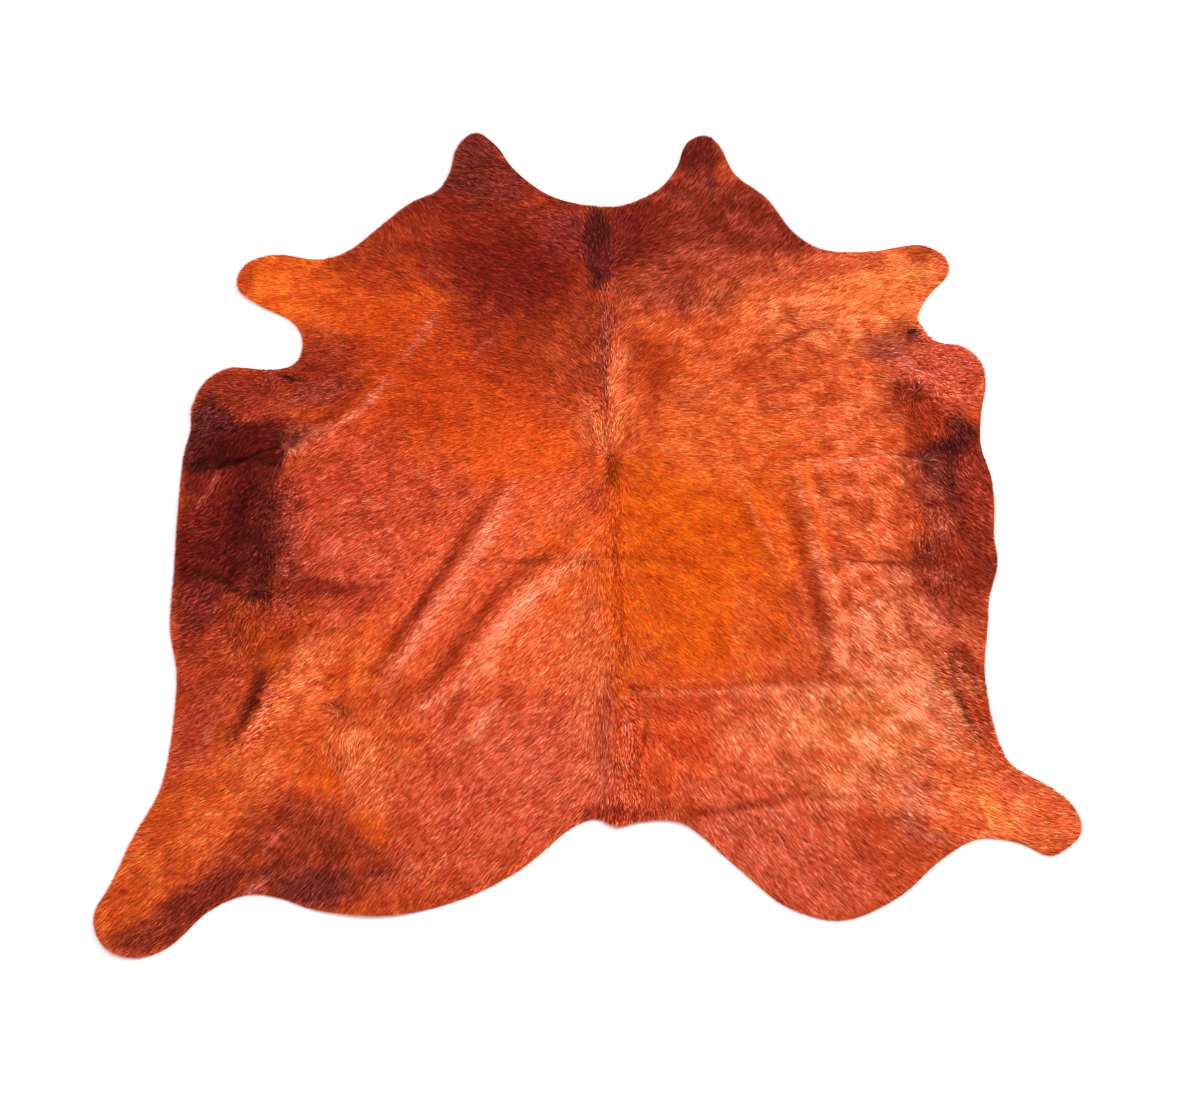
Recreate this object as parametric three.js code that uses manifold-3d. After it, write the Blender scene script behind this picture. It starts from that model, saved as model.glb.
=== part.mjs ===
// Cowhide rug: one whole tanned hide, hair side up, lying spread on the floor.
// Lengths are millimetres and +Z is up. The tables measure x across the hide from the middle of its
// back, + to the right of someone at the tail who looks at the neck, and y from the tail forwards.

import * as THREE from "three";
import { mergeVertices } from "three/addons/utils/BufferGeometryUtils.js";
import Module from "manifold-3d";

const LEATHER_THICKNESS = 2.5;
const LAID_HAIR_DEPTH = 3.5;
const SHEET = LEATHER_THICKNESS + LAID_HAIR_DEPTH;

const OUTLINE_STEPS = 440;
const MESH_SIDE = 2176;
const MESH_CELLS = 128;
const BEND_TOLERANCE = 1.1;
const CUTTER_HEIGHT = 400;
const ROUTE_STEPS = 14;
const TAPER_POWER = 0.5;

// The cut edge of the hide, clockwise from above, in four stretches. A smooth curve joins the places.
const NECK_EDGE = [
  { at: "left ear root, outside", x: -350, y: 1635 },
  { at: "left ear, outside", x: -338, y: 1703 },
  { at: "left ear tip", x: -296, y: 1751 },
  { at: "left ear, inside", x: -245, y: 1715 },
  { at: "left ear root, inside", x: -203, y: 1645 },
  { at: "neck, left slope", x: -120, y: 1566 },
  { at: "neck, left of middle", x: -15, y: 1529 },
  { at: "neck, right of middle", x: 50, y: 1531 },
  { at: "neck, right slope", x: 130, y: 1574 },
  { at: "right ear root, inside", x: 180, y: 1647 },
  { at: "right ear, inside", x: 203, y: 1717 },
  { at: "right ear tip", x: 250, y: 1742 },
  { at: "right ear, outside", x: 283, y: 1707 },
  { at: "right ear root, outside", x: 314, y: 1627 },
];

const RIGHT_EDGE = [
  { at: "right neck side", x: 385, y: 1555 },
  { at: "right neck base", x: 447, y: 1448 },
  { at: "right shoulder point", x: 512, y: 1401 },
  { at: "right foreleg, front", x: 615, y: 1397 },
  { at: "right foreleg, front corner", x: 727, y: 1415 },
  { at: "right foreleg, end", x: 782, y: 1377 },
  { at: "right foreleg, end corner", x: 786, y: 1327 },
  { at: "right foreleg, back", x: 733, y: 1265 },
  { at: "right armpit", x: 706, y: 1195 },
  { at: "right armpit, rear", x: 738, y: 1144 },
  { at: "right chest corner, front", x: 797, y: 1133 },
  { at: "right chest corner", x: 836, y: 1092 },
  { at: "right chest corner, rear", x: 841, y: 1033 },
  { at: "right girth", x: 823, y: 952 },
  { at: "right girth notch", x: 814, y: 872 },
  { at: "right belly, front", x: 826, y: 790 },
  { at: "right belly", x: 824, y: 700 },
  { at: "right belly dip", x: 816, y: 648 },
  { at: "right belly point", x: 818, y: 578 },
  { at: "right belly, rear", x: 793, y: 498 },
  { at: "right flank, front", x: 783, y: 430 },
  { at: "right flank", x: 767, y: 335 },
  { at: "right flank, rear", x: 771, y: 210 },
  { at: "right stifle", x: 792, y: 138 },
  { at: "right hind leg, front", x: 852, y: 95 },
];

const RUMP_EDGE = [
  { at: "right hind leg, front corner", x: 902, y: 48 },
  { at: "right hind leg, end", x: 916, y: -8 },
  { at: "right hind leg, end corner", x: 882, y: -43 },
  { at: "right hind leg, tag", x: 850, y: -56 },
  { at: "right hind leg, rear", x: 795, y: -28 },
  { at: "right hock", x: 720, y: -20 },
  { at: "right thigh, outside", x: 645, y: -62 },
  { at: "right thigh, lower", x: 560, y: -135 },
  { at: "right thigh, lowest", x: 448, y: -181 },
  { at: "right thigh, inside", x: 345, y: -152 },
  { at: "right buttock", x: 262, y: -80 },
  { at: "right of the tail", x: 168, y: 6 },
  { at: "tail root, right", x: 138, y: 16 },
  { at: "tail, right", x: 84, y: 15 },
  { at: "tail point, right", x: 54, y: 11 },
  { at: "tail point", x: 37, y: -1 },
  { at: "tail point, left", x: 15, y: 11 },
  { at: "tail root, left", x: -8, y: 21 },
  { at: "left of the tail", x: -48, y: 6 },
  { at: "left buttock", x: -145, y: -78 },
  { at: "left thigh, inside", x: -255, y: -138 },
  { at: "left thigh, lowest", x: -400, y: -173 },
  { at: "left thigh, lower", x: -532, y: -160 },
  { at: "left thigh corner", x: -603, y: -136 },
  { at: "left hock", x: -662, y: -131 },
  { at: "left hind leg, rear", x: -728, y: -162 },
];

const LEFT_EDGE = [
  { at: "left hind leg, rear corner", x: -795, y: -232 },
  { at: "left hind leg, end corner", x: -855, y: -253 },
  { at: "left hind leg, end", x: -912, y: -235 },
  { at: "left hind leg, end middle", x: -941, y: -172 },
  { at: "left hind leg, front corner", x: -918, y: -115 },
  { at: "left hind leg, front", x: -890, y: -28 },
  { at: "left stifle", x: -846, y: 82 },
  { at: "left flank, rear", x: -837, y: 215 },
  { at: "left flank", x: -842, y: 325 },
  { at: "left belly point, rear", x: -867, y: 425 },
  { at: "left belly, rear", x: -874, y: 552 },
  { at: "left belly", x: -882, y: 700 },
  { at: "left belly, front", x: -886, y: 855 },
  { at: "left girth notch", x: -878, y: 905 },
  { at: "left girth", x: -880, y: 975 },
  { at: "left chest corner", x: -858, y: 1038 },
  { at: "left chest corner, front", x: -812, y: 1073 },
  { at: "left chest, front", x: -715, y: 1068 },
  { at: "left armpit, rear", x: -667, y: 1084 },
  { at: "left armpit", x: -656, y: 1140 },
  { at: "left foreleg, back root", x: -680, y: 1195 },
  { at: "left foreleg, back", x: -768, y: 1248 },
  { at: "left foreleg, end corner", x: -815, y: 1290 },
  { at: "left foreleg, end", x: -804, y: 1355 },
  { at: "left foreleg, front corner", x: -740, y: 1388 },
  { at: "left foreleg, front", x: -630, y: 1374 },
  { at: "left shoulder point", x: -575, y: 1396 },
  { at: "left neck base", x: -505, y: 1468 },
  { at: "left neck corner", x: -438, y: 1540 },
  { at: "left neck side", x: -378, y: 1574 },
];

// Buckles that the hide kept from lying folded. Each follows its route and runs out to nothing at both
// ends. Left and right are how far it reaches to either hand of someone who walks along the route.
const FOLDS = [
  {
    fold: "left back, long outer",
    height: 10,
    left: 56,
    right: 40,
    route: [
      { x: -190, y: 770 },
      { x: -254, y: 657 },
      { x: -325, y: 512 },
      { x: -450, y: 298 },
    ],
  },
  {
    fold: "left back, long inner",
    height: 10,
    left: 60,
    right: 43,
    route: [
      { x: -15, y: 675 },
      { x: -95, y: 598 },
      { x: -176, y: 515 },
      { x: -245, y: 418 },
      { x: -318, y: 293 },
      { x: -420, y: 245 },
    ],
  },
  {
    fold: "left loin, short",
    height: 6,
    left: 39,
    right: 31,
    route: [
      { x: -212, y: 376 },
      { x: -254, y: 293 },
      { x: -300, y: 205 },
    ],
  },
  {
    fold: "left shoulder",
    height: 9,
    left: 53,
    right: 46,
    route: [
      { x: -470, y: 1060 },
      { x: -536, y: 950 },
      { x: -597, y: 893 },
      { x: -690, y: 868 },
    ],
  },
  {
    fold: "left flank tuck",
    height: 9,
    left: 62,
    right: 43,
    route: [
      { x: -648, y: 352 },
      { x: -665, y: 262 },
      { x: -695, y: 200 },
      { x: -775, y: 165 },
    ],
  },
  {
    fold: "left chest, across",
    height: 6,
    left: 39,
    right: 36,
    route: [
      { x: -870, y: 790 },
      { x: -800, y: 812 },
      { x: -715, y: 815 },
      { x: -630, y: 850 },
    ],
  },
  {
    fold: "left belly, across",
    height: 7,
    left: 34,
    right: 43,
    route: [
      { x: -868, y: 545 },
      { x: -785, y: 532 },
      { x: -735, y: 495 },
      { x: -660, y: 520 },
    ],
  },
  {
    fold: "right ribs, long",
    height: 9,
    left: 34,
    right: 41,
    route: [
      { x: 418, y: 835 },
      { x: 436, y: 710 },
      { x: 455, y: 590 },
      { x: 471, y: 455 },
      { x: 484, y: 290 },
    ],
  },
  {
    fold: "right ribs, short",
    height: 6,
    left: 34,
    right: 36,
    route: [
      { x: 292, y: 775 },
      { x: 350, y: 654 },
      { x: 392, y: 560 },
    ],
  },
  {
    fold: "right loin, short",
    height: 4,
    left: 32,
    right: 34,
    route: [
      { x: 262, y: 420 },
      { x: 305, y: 290 },
    ],
  },
  {
    fold: "right chest, across",
    height: 4,
    left: 34,
    right: 29,
    route: [
      { x: 400, y: 832 },
      { x: 554, y: 832 },
      { x: 780, y: 838 },
    ],
  },
  {
    fold: "right belly, across",
    height: 6,
    left: 39,
    right: 31,
    route: [
      { x: 445, y: 570 },
      { x: 557, y: 572 },
      { x: 690, y: 574 },
    ],
  },
  {
    fold: "loin, across",
    height: 4,
    left: 41,
    right: 29,
    route: [
      { x: 60, y: 284 },
      { x: 298, y: 286 },
      { x: 497, y: 293 },
      { x: 690, y: 308 },
    ],
  },
  {
    fold: "rump, across",
    height: 6,
    left: 41,
    right: 36,
    route: [
      { x: 60, y: 44 },
      { x: 209, y: 20 },
      { x: 316, y: 34 },
      { x: 500, y: 60 },
    ],
  },
  {
    fold: "right flank roll",
    height: 10,
    left: 69,
    right: 53,
    route: [
      { x: 718, y: 385 },
      { x: 692, y: 290 },
      { x: 715, y: 215 },
      { x: 775, y: 130 },
    ],
  },
  {
    fold: "right shoulder pucker",
    height: 6,
    left: 30,
    right: 36,
    route: [
      { x: 600, y: 1045 },
      { x: 683, y: 1052 },
      { x: 750, y: 1015 },
    ],
  },
  {
    fold: "left armpit pucker",
    height: 7,
    left: 25,
    right: 36,
    route: [
      { x: -745, y: 1048 },
      { x: -679, y: 1040 },
      { x: -610, y: 1015 },
    ],
  },
  {
    fold: "neck, middle of the back",
    height: 4,
    left: 46,
    right: 48,
    route: [
      { x: -2, y: 1440 },
      { x: 4, y: 1200 },
      { x: 16, y: 860 },
    ],
  },
];

// Rounded swellings, most of them where the edge stands a little off the floor.
const SWELLS = [
  { at: "left ear", x: -310, y: 1775, height: 7, reach: 130 },
  { at: "right ear", x: 262, y: 1768, height: 7, reach: 120 },
  { at: "left foreleg", x: -840, y: 1300, height: 5, reach: 150 },
  { at: "right foreleg", x: 805, y: 1350, height: 9, reach: 130 },
  { at: "left chest edge", x: -895, y: 985, height: 4, reach: 120 },
  { at: "left belly edge", x: -905, y: 690, height: 4, reach: 150 },
  { at: "right belly edge", x: 850, y: 735, height: 9, reach: 130 },
  { at: "right belly point", x: 838, y: 580, height: 7, reach: 80 },
  { at: "right hind leg", x: 945, y: 5, height: 10, reach: 150 },
  { at: "left hind leg", x: -935, y: -240, height: 6, reach: 160 },
  { at: "left thigh edge", x: -430, y: -200, height: 6, reach: 130 },
  { at: "tail", x: 40, y: -20, height: 6, reach: 90 },
  { at: "left flank", x: -790, y: 280, height: 5, reach: 110 },
  { at: "right armpit", x: 690, y: 1175, height: 9, reach: 70 },
];

const HIDE_COLOUR = 0xc4501f;
const HAIR_ROUGHNESS = 0.7;

// Falls smoothly from 1 at the middle to 0 at a distance of 1, and stays 0 beyond.
function hump(distance) {
  return distance < 1 ? (1 - distance * distance) ** 2 : 0;
}

// Height over the floor that one fold gives at a place, from the nearest point of its smooth route.
function foldLift(fold, x, y) {
  let nearest = { distance: Infinity, along: 0, side: 0 };
  for (let i = 1; i < fold.points.length; i++) {
    const start = fold.points[i - 1];
    const run = { x: fold.points[i].x - start.x, y: fold.points[i].y - start.y };
    const off = { x: x - start.x, y: y - start.y };
    const share = (off.x * run.x + off.y * run.y) / (run.x ** 2 + run.y ** 2);
    const held = THREE.MathUtils.clamp(share, 0, 1);
    const distance = Math.hypot(off.x - held * run.x, off.y - held * run.y);
    if (distance < nearest.distance) {
      const along = (i - 1 + held) / (fold.points.length - 1);
      nearest = { distance, along, side: run.x * off.y - run.y * off.x };
    }
  }
  const reach = nearest.side > 0 ? fold.left : fold.right;
  const taper = Math.sin(Math.PI * nearest.along) ** TAPER_POWER;
  return fold.height * taper * hump(nearest.distance / reach);
}

// Rounds a table's places off into a dense row of points.
function smoothPoints(places, steps, closed) {
  const corners = places.map((place) => new THREE.Vector3(place.x, place.y, 0));
  return new THREE.CatmullRomCurve3(corners, closed, "centripetal").getSpacedPoints(steps);
}

const folds = FOLDS.map((fold) => ({ ...fold, points: smoothPoints(fold.route, ROUTE_STEPS, false) }));

// Height of the skin side over the floor. It is exactly 0 wherever the hide lies flat.
function skinHeight(x, y) {
  let height = 0;
  for (const fold of folds) {
    height += foldLift(fold, x, y);
  }
  for (const swell of SWELLS) {
    height += swell.height * hump(Math.hypot(x - swell.x, y - swell.y) / swell.reach);
  }
  return height;
}

// The hide is cut from a square mesh, whose corners are counted in cells from its lower left.
const outline = smoothPoints([...NECK_EDGE, ...RIGHT_EDGE, ...RUMP_EDGE, ...LEFT_EDGE], OUTLINE_STEPS, true);
const extent = new THREE.Box3().setFromPoints(outline);
const centre = extent.getCenter(new THREE.Vector3());
const cell = MESH_SIDE / MESH_CELLS;

function placeOf([i, j]) {
  return { x: centre.x - MESH_SIDE / 2 + i * cell, y: centre.y - MESH_SIDE / 2 + j * cell };
}

const heights = new Map();

function cornerHeight(corner) {
  const key = corner.join();
  if (!heights.has(key)) {
    const { x, y } = placeOf(corner);
    heights.set(key, skinHeight(x, y));
  }
  return heights.get(key);
}

function middle(a, b) {
  return [(a[0] + b[0]) / 2, (a[1] + b[1]) / 2];
}

// Visits the right triangles that depth halvings make of the one with the long side a to b.
function eachTriangle(a, b, c, depth, visit) {
  if (depth === 0) {
    visit(a, b, c);
    return;
  }
  const m = middle(a, b);
  eachTriangle(c, a, m, depth - 1, visit);
  eachTriangle(b, c, m, depth - 1, visit);
}

const FAR = MESH_CELLS;
const SQUARE_HALVES = [
  [[FAR, FAR], [0, 0], [FAR, 0]],
  [[0, 0], [FAR, FAR], [0, FAR]],
];
const DEEPEST = 2 * Math.log2(MESH_CELLS) - 1;

// How far the skin lies from a straight long side, at its middle or at that of any smaller triangle.
function measureBends() {
  const bends = new Map();
  const bendAt = (a, b) => bends.get(middle(a, b).join()) ?? 0;
  for (let depth = DEEPEST; depth >= 0; depth--) {
    for (const half of SQUARE_HALVES) {
      eachTriangle(...half, depth, (a, b, c) => {
        const m = middle(a, b);
        const own = Math.abs(cornerHeight(m) - (cornerHeight(a) + cornerHeight(b)) / 2);
        bends.set(m.join(), Math.max(bendAt(a, b), own, bendAt(c, a), bendAt(b, c)));
      });
    }
  }
  return bends;
}

// Triangles that are small where the hide bends and large where it lies flat.
function fittedTriangles() {
  const bends = measureBends();
  const triangles = [];
  const split = (a, b, c, depth) => {
    const m = middle(a, b);
    if (depth > DEEPEST || (bends.get(m.join()) ?? 0) < BEND_TOLERANCE) {
      triangles.push([a, b, c]);
      return;
    }
    split(c, a, m, depth + 1);
    split(b, c, m, depth + 1);
  };
  for (const half of SQUARE_HALVES) {
    split(...half, 0);
  }
  return triangles;
}

// A closed mesh of the whole square, SHEET thick: hair side, skin side and the walls round it.
function squareSheet() {
  const triangles = fittedTriangles();
  const numbers = new Map();
  const positions = [];
  const number = (corner) => {
    const key = corner.join();
    if (!numbers.has(key)) {
      const { x, y } = placeOf(corner);
      const height = cornerHeight(corner);
      numbers.set(key, numbers.size);
      positions.push(x, y, height, x, y, height + SHEET);
    }
    return 2 * numbers.get(key);
  };
  const index = [];
  const sides = new Map();
  for (const triangle of triangles) {
    const [a, b, c] = triangle.map(number);
    index.push(a + 1, b + 1, c + 1, a, c, b);
    for (const [from, to] of [[a, b], [b, c], [c, a]]) {
      if (!sides.delete(`${to},${from}`)) {
        sides.set(`${from},${to}`, [from, to]);
      }
    }
  }
  for (const [from, to] of sides.values()) {
    index.push(from, to, to + 1, from, to + 1, from + 1);
  }
  const geometry = new THREE.BufferGeometry();
  geometry.setAttribute("position", new THREE.Float32BufferAttribute(positions, 3));
  geometry.setIndex(index);
  return geometry;
}

// A tall block with the outline of the hide.
function outlineCutter() {
  const shape = new THREE.Shape(outline.slice(0, -1).map((point) => new THREE.Vector2(point.x, point.y)));
  const block = new THREE.ExtrudeGeometry(shape, { depth: CUTTER_HEIGHT, bevelEnabled: false });
  return block.translate(0, 0, -CUTTER_HEIGHT / 2);
}

const wasm = await Module();
wasm.setup();

function solidOf(geometry) {
  const bare = geometry.clone();
  bare.deleteAttribute("normal");
  bare.deleteAttribute("uv");
  const merged = mergeVertices(bare);
  const mesh = new wasm.Mesh({
    numProp: 3,
    vertProperties: new Float32Array(merged.attributes.position.array),
    triVerts: new Uint32Array(merged.index.array),
  });
  return new wasm.Manifold(mesh);
}

function geometryOf(solid) {
  const mesh = solid.getMesh();
  const geometry = new THREE.BufferGeometry();
  geometry.setAttribute("position", new THREE.BufferAttribute(mesh.vertProperties, 3));
  geometry.setIndex(new THREE.BufferAttribute(mesh.triVerts, 1));
  geometry.computeVertexNormals();
  return geometry;
}

function cutHide() {
  return geometryOf(solidOf(squareSheet()).intersect(solidOf(outlineCutter())));
}

const hairOnHide = new THREE.MeshStandardMaterial({
  color: HIDE_COLOUR,
  roughness: HAIR_ROUGHNESS,
  metalness: 0,
});

const hide = new THREE.Mesh(cutHide(), hairOnHide);
hide.name = "hide";
hide.position.set(-centre.x, -centre.y, 0);

const rug = new THREE.Group();
rug.add(hide);

export default rug;
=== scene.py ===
"""A whole dyed cowhide rug, hair side up, laid on the floor.

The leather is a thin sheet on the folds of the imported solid. Four sides of short lying coat and one
piece of longer hair grow on it. Places on the hide are in millimetres: x from the middle of the back
to the right of someone who stands at the tail, y from the tail forwards.
"""
import logging
import math
from dataclasses import dataclass
from enum import Enum

import bmesh
import bpy
import numpy as np
from mathutils import Euler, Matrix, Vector
from mathutils.geometry import delaunay_2d_cdt


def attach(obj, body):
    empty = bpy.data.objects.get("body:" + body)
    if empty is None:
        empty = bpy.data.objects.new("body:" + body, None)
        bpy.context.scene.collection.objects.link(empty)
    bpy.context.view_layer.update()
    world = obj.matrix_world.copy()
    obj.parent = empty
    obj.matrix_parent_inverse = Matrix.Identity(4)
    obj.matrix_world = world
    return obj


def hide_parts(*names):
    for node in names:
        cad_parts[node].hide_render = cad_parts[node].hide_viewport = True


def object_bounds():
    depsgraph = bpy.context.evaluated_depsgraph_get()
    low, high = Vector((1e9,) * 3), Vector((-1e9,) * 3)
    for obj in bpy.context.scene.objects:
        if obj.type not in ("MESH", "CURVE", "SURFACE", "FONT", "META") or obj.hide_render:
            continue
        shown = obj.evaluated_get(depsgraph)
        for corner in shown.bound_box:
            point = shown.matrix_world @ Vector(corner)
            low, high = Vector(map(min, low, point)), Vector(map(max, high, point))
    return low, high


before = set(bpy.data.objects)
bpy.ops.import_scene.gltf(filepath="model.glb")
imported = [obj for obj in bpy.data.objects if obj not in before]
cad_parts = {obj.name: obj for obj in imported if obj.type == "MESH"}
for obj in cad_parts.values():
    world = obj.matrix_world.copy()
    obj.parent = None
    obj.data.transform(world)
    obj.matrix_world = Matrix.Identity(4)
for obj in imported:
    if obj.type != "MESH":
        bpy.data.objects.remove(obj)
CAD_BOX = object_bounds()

log = logging.getLogger("cowhide")

HIDE_MIDDLE = (-12.06, 748.98)
LEATHER_THICKNESS = 2.5
LOCK_WIDTH = 1.3
LOCK_LENGTH = 14.0
LOCK_READINGS = 9
LOCK_SPREAD = 4.2
SEED = 626


@dataclass(frozen=True)
class Fold:
    """A soft ridge left by packing, with its own reach on the left and right of someone walking its route."""

    name: str
    height: float
    left: float
    right: float
    route: list[tuple[float, float]]


@dataclass(frozen=True)
class Crease:
    """A sharper line where the hide was folded: a low ridge with a band of painted shade beside it."""

    name: str
    height: float
    reach: float
    painted_crease_shade: float
    route: list[tuple[float, float]]


@dataclass(frozen=True)
class Swell:
    """A rounded lift, most of them where the edge stands a little off the floor."""

    name: str
    x: float
    y: float
    height: float
    reach: float


@dataclass(frozen=True)
class Comb:
    """The way the hair lies at a place: heading in degrees, 0 to the right and 90 towards the neck."""

    name: str
    x: float
    y: float
    heading: float
    reach: float


@dataclass(frozen=True)
class Whorl:
    """A place that the hair turns away from on all sides, turned by spin degrees from straight outwards."""

    name: str
    x: float
    y: float
    reach: float
    spin: float


@dataclass(frozen=True)
class Patch:
    """An oval of coat colour with a soft, ragged edge.

    length and width run from its middle to its rim, turn is in degrees, and softness is the share that fades.
    """

    name: str
    x: float
    y: float
    length: float
    width: float
    turn: float
    colour: str
    strength: float
    softness: float
    mottle: float

    def distance(self, x: np.ndarray, y: np.ndarray) -> np.ndarray:
        """Measures how far places are from the middle of the oval.

        Args:
            x: Places to the right.
            y: Places forwards.

        Returns:
            The distances, where 1 is the rim.
        """
        turn = math.radians(self.turn)
        along = (x - self.x) * math.cos(turn) + (y - self.y) * math.sin(turn)
        across = (y - self.y) * math.cos(turn) - (x - self.x) * math.sin(turn)
        return np.hypot(along / self.length, across / self.width)


@dataclass(frozen=True)
class PaintedLightAndColourLine:
    """A soft line of colour along a route: a painted highlight on a fold's crest or lip, painted shade in a
    trough, a groove or along a crease, and elsewhere a darker or paler line of the coat.
    """

    name: str
    reach: float
    colour: str
    strength: float
    route: list[tuple[float, float]]


@dataclass(frozen=True)
class Tuft:
    """An oval of longer hair: how long each hair is, how far it lifts, and how many degrees it curls."""

    name: str
    x: float
    y: float
    length: float
    width: float
    turn: float
    hair: float
    lift: float
    curl: float
    hairs: int


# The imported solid's folds, with the same sizes and routes.
FOLDS = [
    Fold("left back, long outer", 10, 56, 40, [(-190, 770), (-254, 657), (-325, 512), (-450, 298)]),
    Fold(
        "left back, long inner", 10, 60, 43,
        [(-15, 675), (-95, 598), (-176, 515), (-245, 418), (-318, 293), (-420, 245)],
    ),
    Fold("left loin, short", 6, 39, 31, [(-212, 376), (-254, 293), (-300, 205)]),
    Fold("left shoulder", 9, 53, 46, [(-470, 1060), (-536, 950), (-597, 893), (-690, 868)]),
    Fold("left flank tuck", 9, 62, 43, [(-648, 352), (-665, 262), (-695, 200), (-775, 165)]),
    Fold("left chest, across", 6, 39, 36, [(-870, 790), (-800, 812), (-715, 815), (-630, 850)]),
    Fold("left belly, across", 7, 34, 43, [(-868, 545), (-785, 532), (-735, 495), (-660, 520)]),
    Fold("right ribs, long", 9, 34, 41, [(418, 835), (436, 710), (455, 590), (471, 455), (484, 290)]),
    Fold("right ribs, short", 6, 34, 36, [(292, 775), (350, 654), (392, 560)]),
    Fold("right loin, short", 4, 32, 34, [(262, 420), (305, 290)]),
    Fold("right chest, across", 4, 34, 29, [(400, 832), (554, 832), (780, 838)]),
    Fold("right belly, across", 6, 39, 31, [(445, 570), (557, 572), (690, 574)]),
    Fold("loin, across", 4, 41, 29, [(60, 284), (298, 286), (497, 293), (690, 308)]),
    Fold("rump, across", 6, 41, 36, [(60, 44), (209, 20), (316, 34), (500, 60)]),
    Fold("right flank roll", 10, 69, 53, [(718, 385), (692, 290), (715, 215), (775, 130)]),
    Fold("right shoulder pucker", 6, 30, 36, [(600, 1045), (683, 1052), (750, 1015)]),
    Fold("left armpit pucker", 7, 25, 36, [(-745, 1048), (-679, 1040), (-610, 1015)]),
    Fold("neck, middle of the back", 4, 46, 48, [(-2, 1440), (4, 1200), (16, 860)]),
]

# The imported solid's lifted places.
SWELLS = [
    Swell("left ear", -310, 1775, 7, 130),
    Swell("right ear", 262, 1768, 7, 120),
    Swell("left foreleg", -840, 1300, 5, 150),
    Swell("right foreleg", 805, 1350, 9, 130),
    Swell("left chest edge", -895, 985, 4, 120),
    Swell("left belly edge", -905, 690, 4, 150),
    Swell("right belly edge", 850, 735, 9, 130),
    Swell("right belly point", 838, 580, 7, 80),
    Swell("right hind leg", 945, 5, 10, 150),
    Swell("left hind leg", -935, -240, 6, 160),
    Swell("left thigh edge", -430, -200, 6, 130),
    Swell("tail", 40, -20, 6, 90),
    Swell("left flank", -790, 280, 5, 110),
    Swell("right armpit", 690, 1175, 9, 70),
]

# Sharper lines of the sheet and its hair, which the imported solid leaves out.
CREASES = [
    Crease("left chest, hind", 3.0, 11, 0.75, [(-880, 802), (-804, 825), (-719, 825), (-657, 845)]),
    Crease("left chest, across", 2.5, 10, 0.6, [(-735, 825), (-690, 832), (-620, 820)]),
    Crease("left belly, across", 2.5, 12, 0.5, [(-862, 552), (-790, 540), (-745, 505), (-700, 500)]),
    Crease("left foreleg, across", 2.0, 10, 0.4, [(-620, 1290), (-560, 1292), (-520, 1300)]),
    Crease("left armpit", 3.0, 12, 0.7, [(-712, 1042), (-690, 1030), (-668, 1036)]),
    Crease("left side, outer", 1.8, 12, 0.3, [(-620, 820), (-560, 825), (-470, 830)]),
    Crease("left hip whorl", 2.5, 12, 0.6, [(-556, 245), (-524, 258), (-501, 236), (-491, 215)]),
    Crease("left hip, short", 2.0, 11, 0.4, [(-545, 240), (-500, 246), (-470, 250)]),
    Crease("right shoulder, thin", 2.0, 8, 0.5, [(353, 1123), (443, 1150), (523, 1183)]),
    Crease("right armpit eye", 3.0, 12, 0.8, [(672, 1176), (690, 1182), (706, 1160)]),
    Crease("right chest, across", 2.5, 8, 0.45, [(560, 832), (640, 838), (700, 832), (722, 822)]),
    Crease("right chest whorl", 2.5, 10, 0.7, [(655, 1005), (690, 1018), (722, 1008)]),
    Crease("right belly, across", 2.5, 9, 0.6, [(459, 590), (536, 576), (629, 573), (692, 570)]),
    Crease("right belly, hind curve", 2.5, 11, 0.6, [(700, 548), (735, 528), (752, 535)]),
    Crease(
        "back, across", 2.5, 9, 0.5,
        [(-299, 585), (-206, 576), (-83, 585), (35, 590), (124, 576), (206, 561)],
    ),
    Crease("loin, across", 2.0, 9, 0.35, [(60, 286), (298, 290), (497, 297), (665, 312)]),
    Crease(
        "loin, beside the back", 2.5, 9, 0.55,
        [(45, 318), (70, 292), (78, 250), (70, 190), (66, 120), (62, 60)],
    ),
    Crease("rump, across", 2.0, 12, 0.45, [(86, 38), (209, 22), (316, 38), (481, 62)]),
    Crease("rump, upper", 1.5, 12, 0.25, [(320, 117), (486, 130)]),
    Crease("right flank line", 3.0, 10, 0.55, [(713, 377), (695, 293), (713, 228), (751, 159)]),
    Crease("back whorl", 2.0, 14, 0.7, [(14, 806), (22, 780), (26, 750)]),
]

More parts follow.
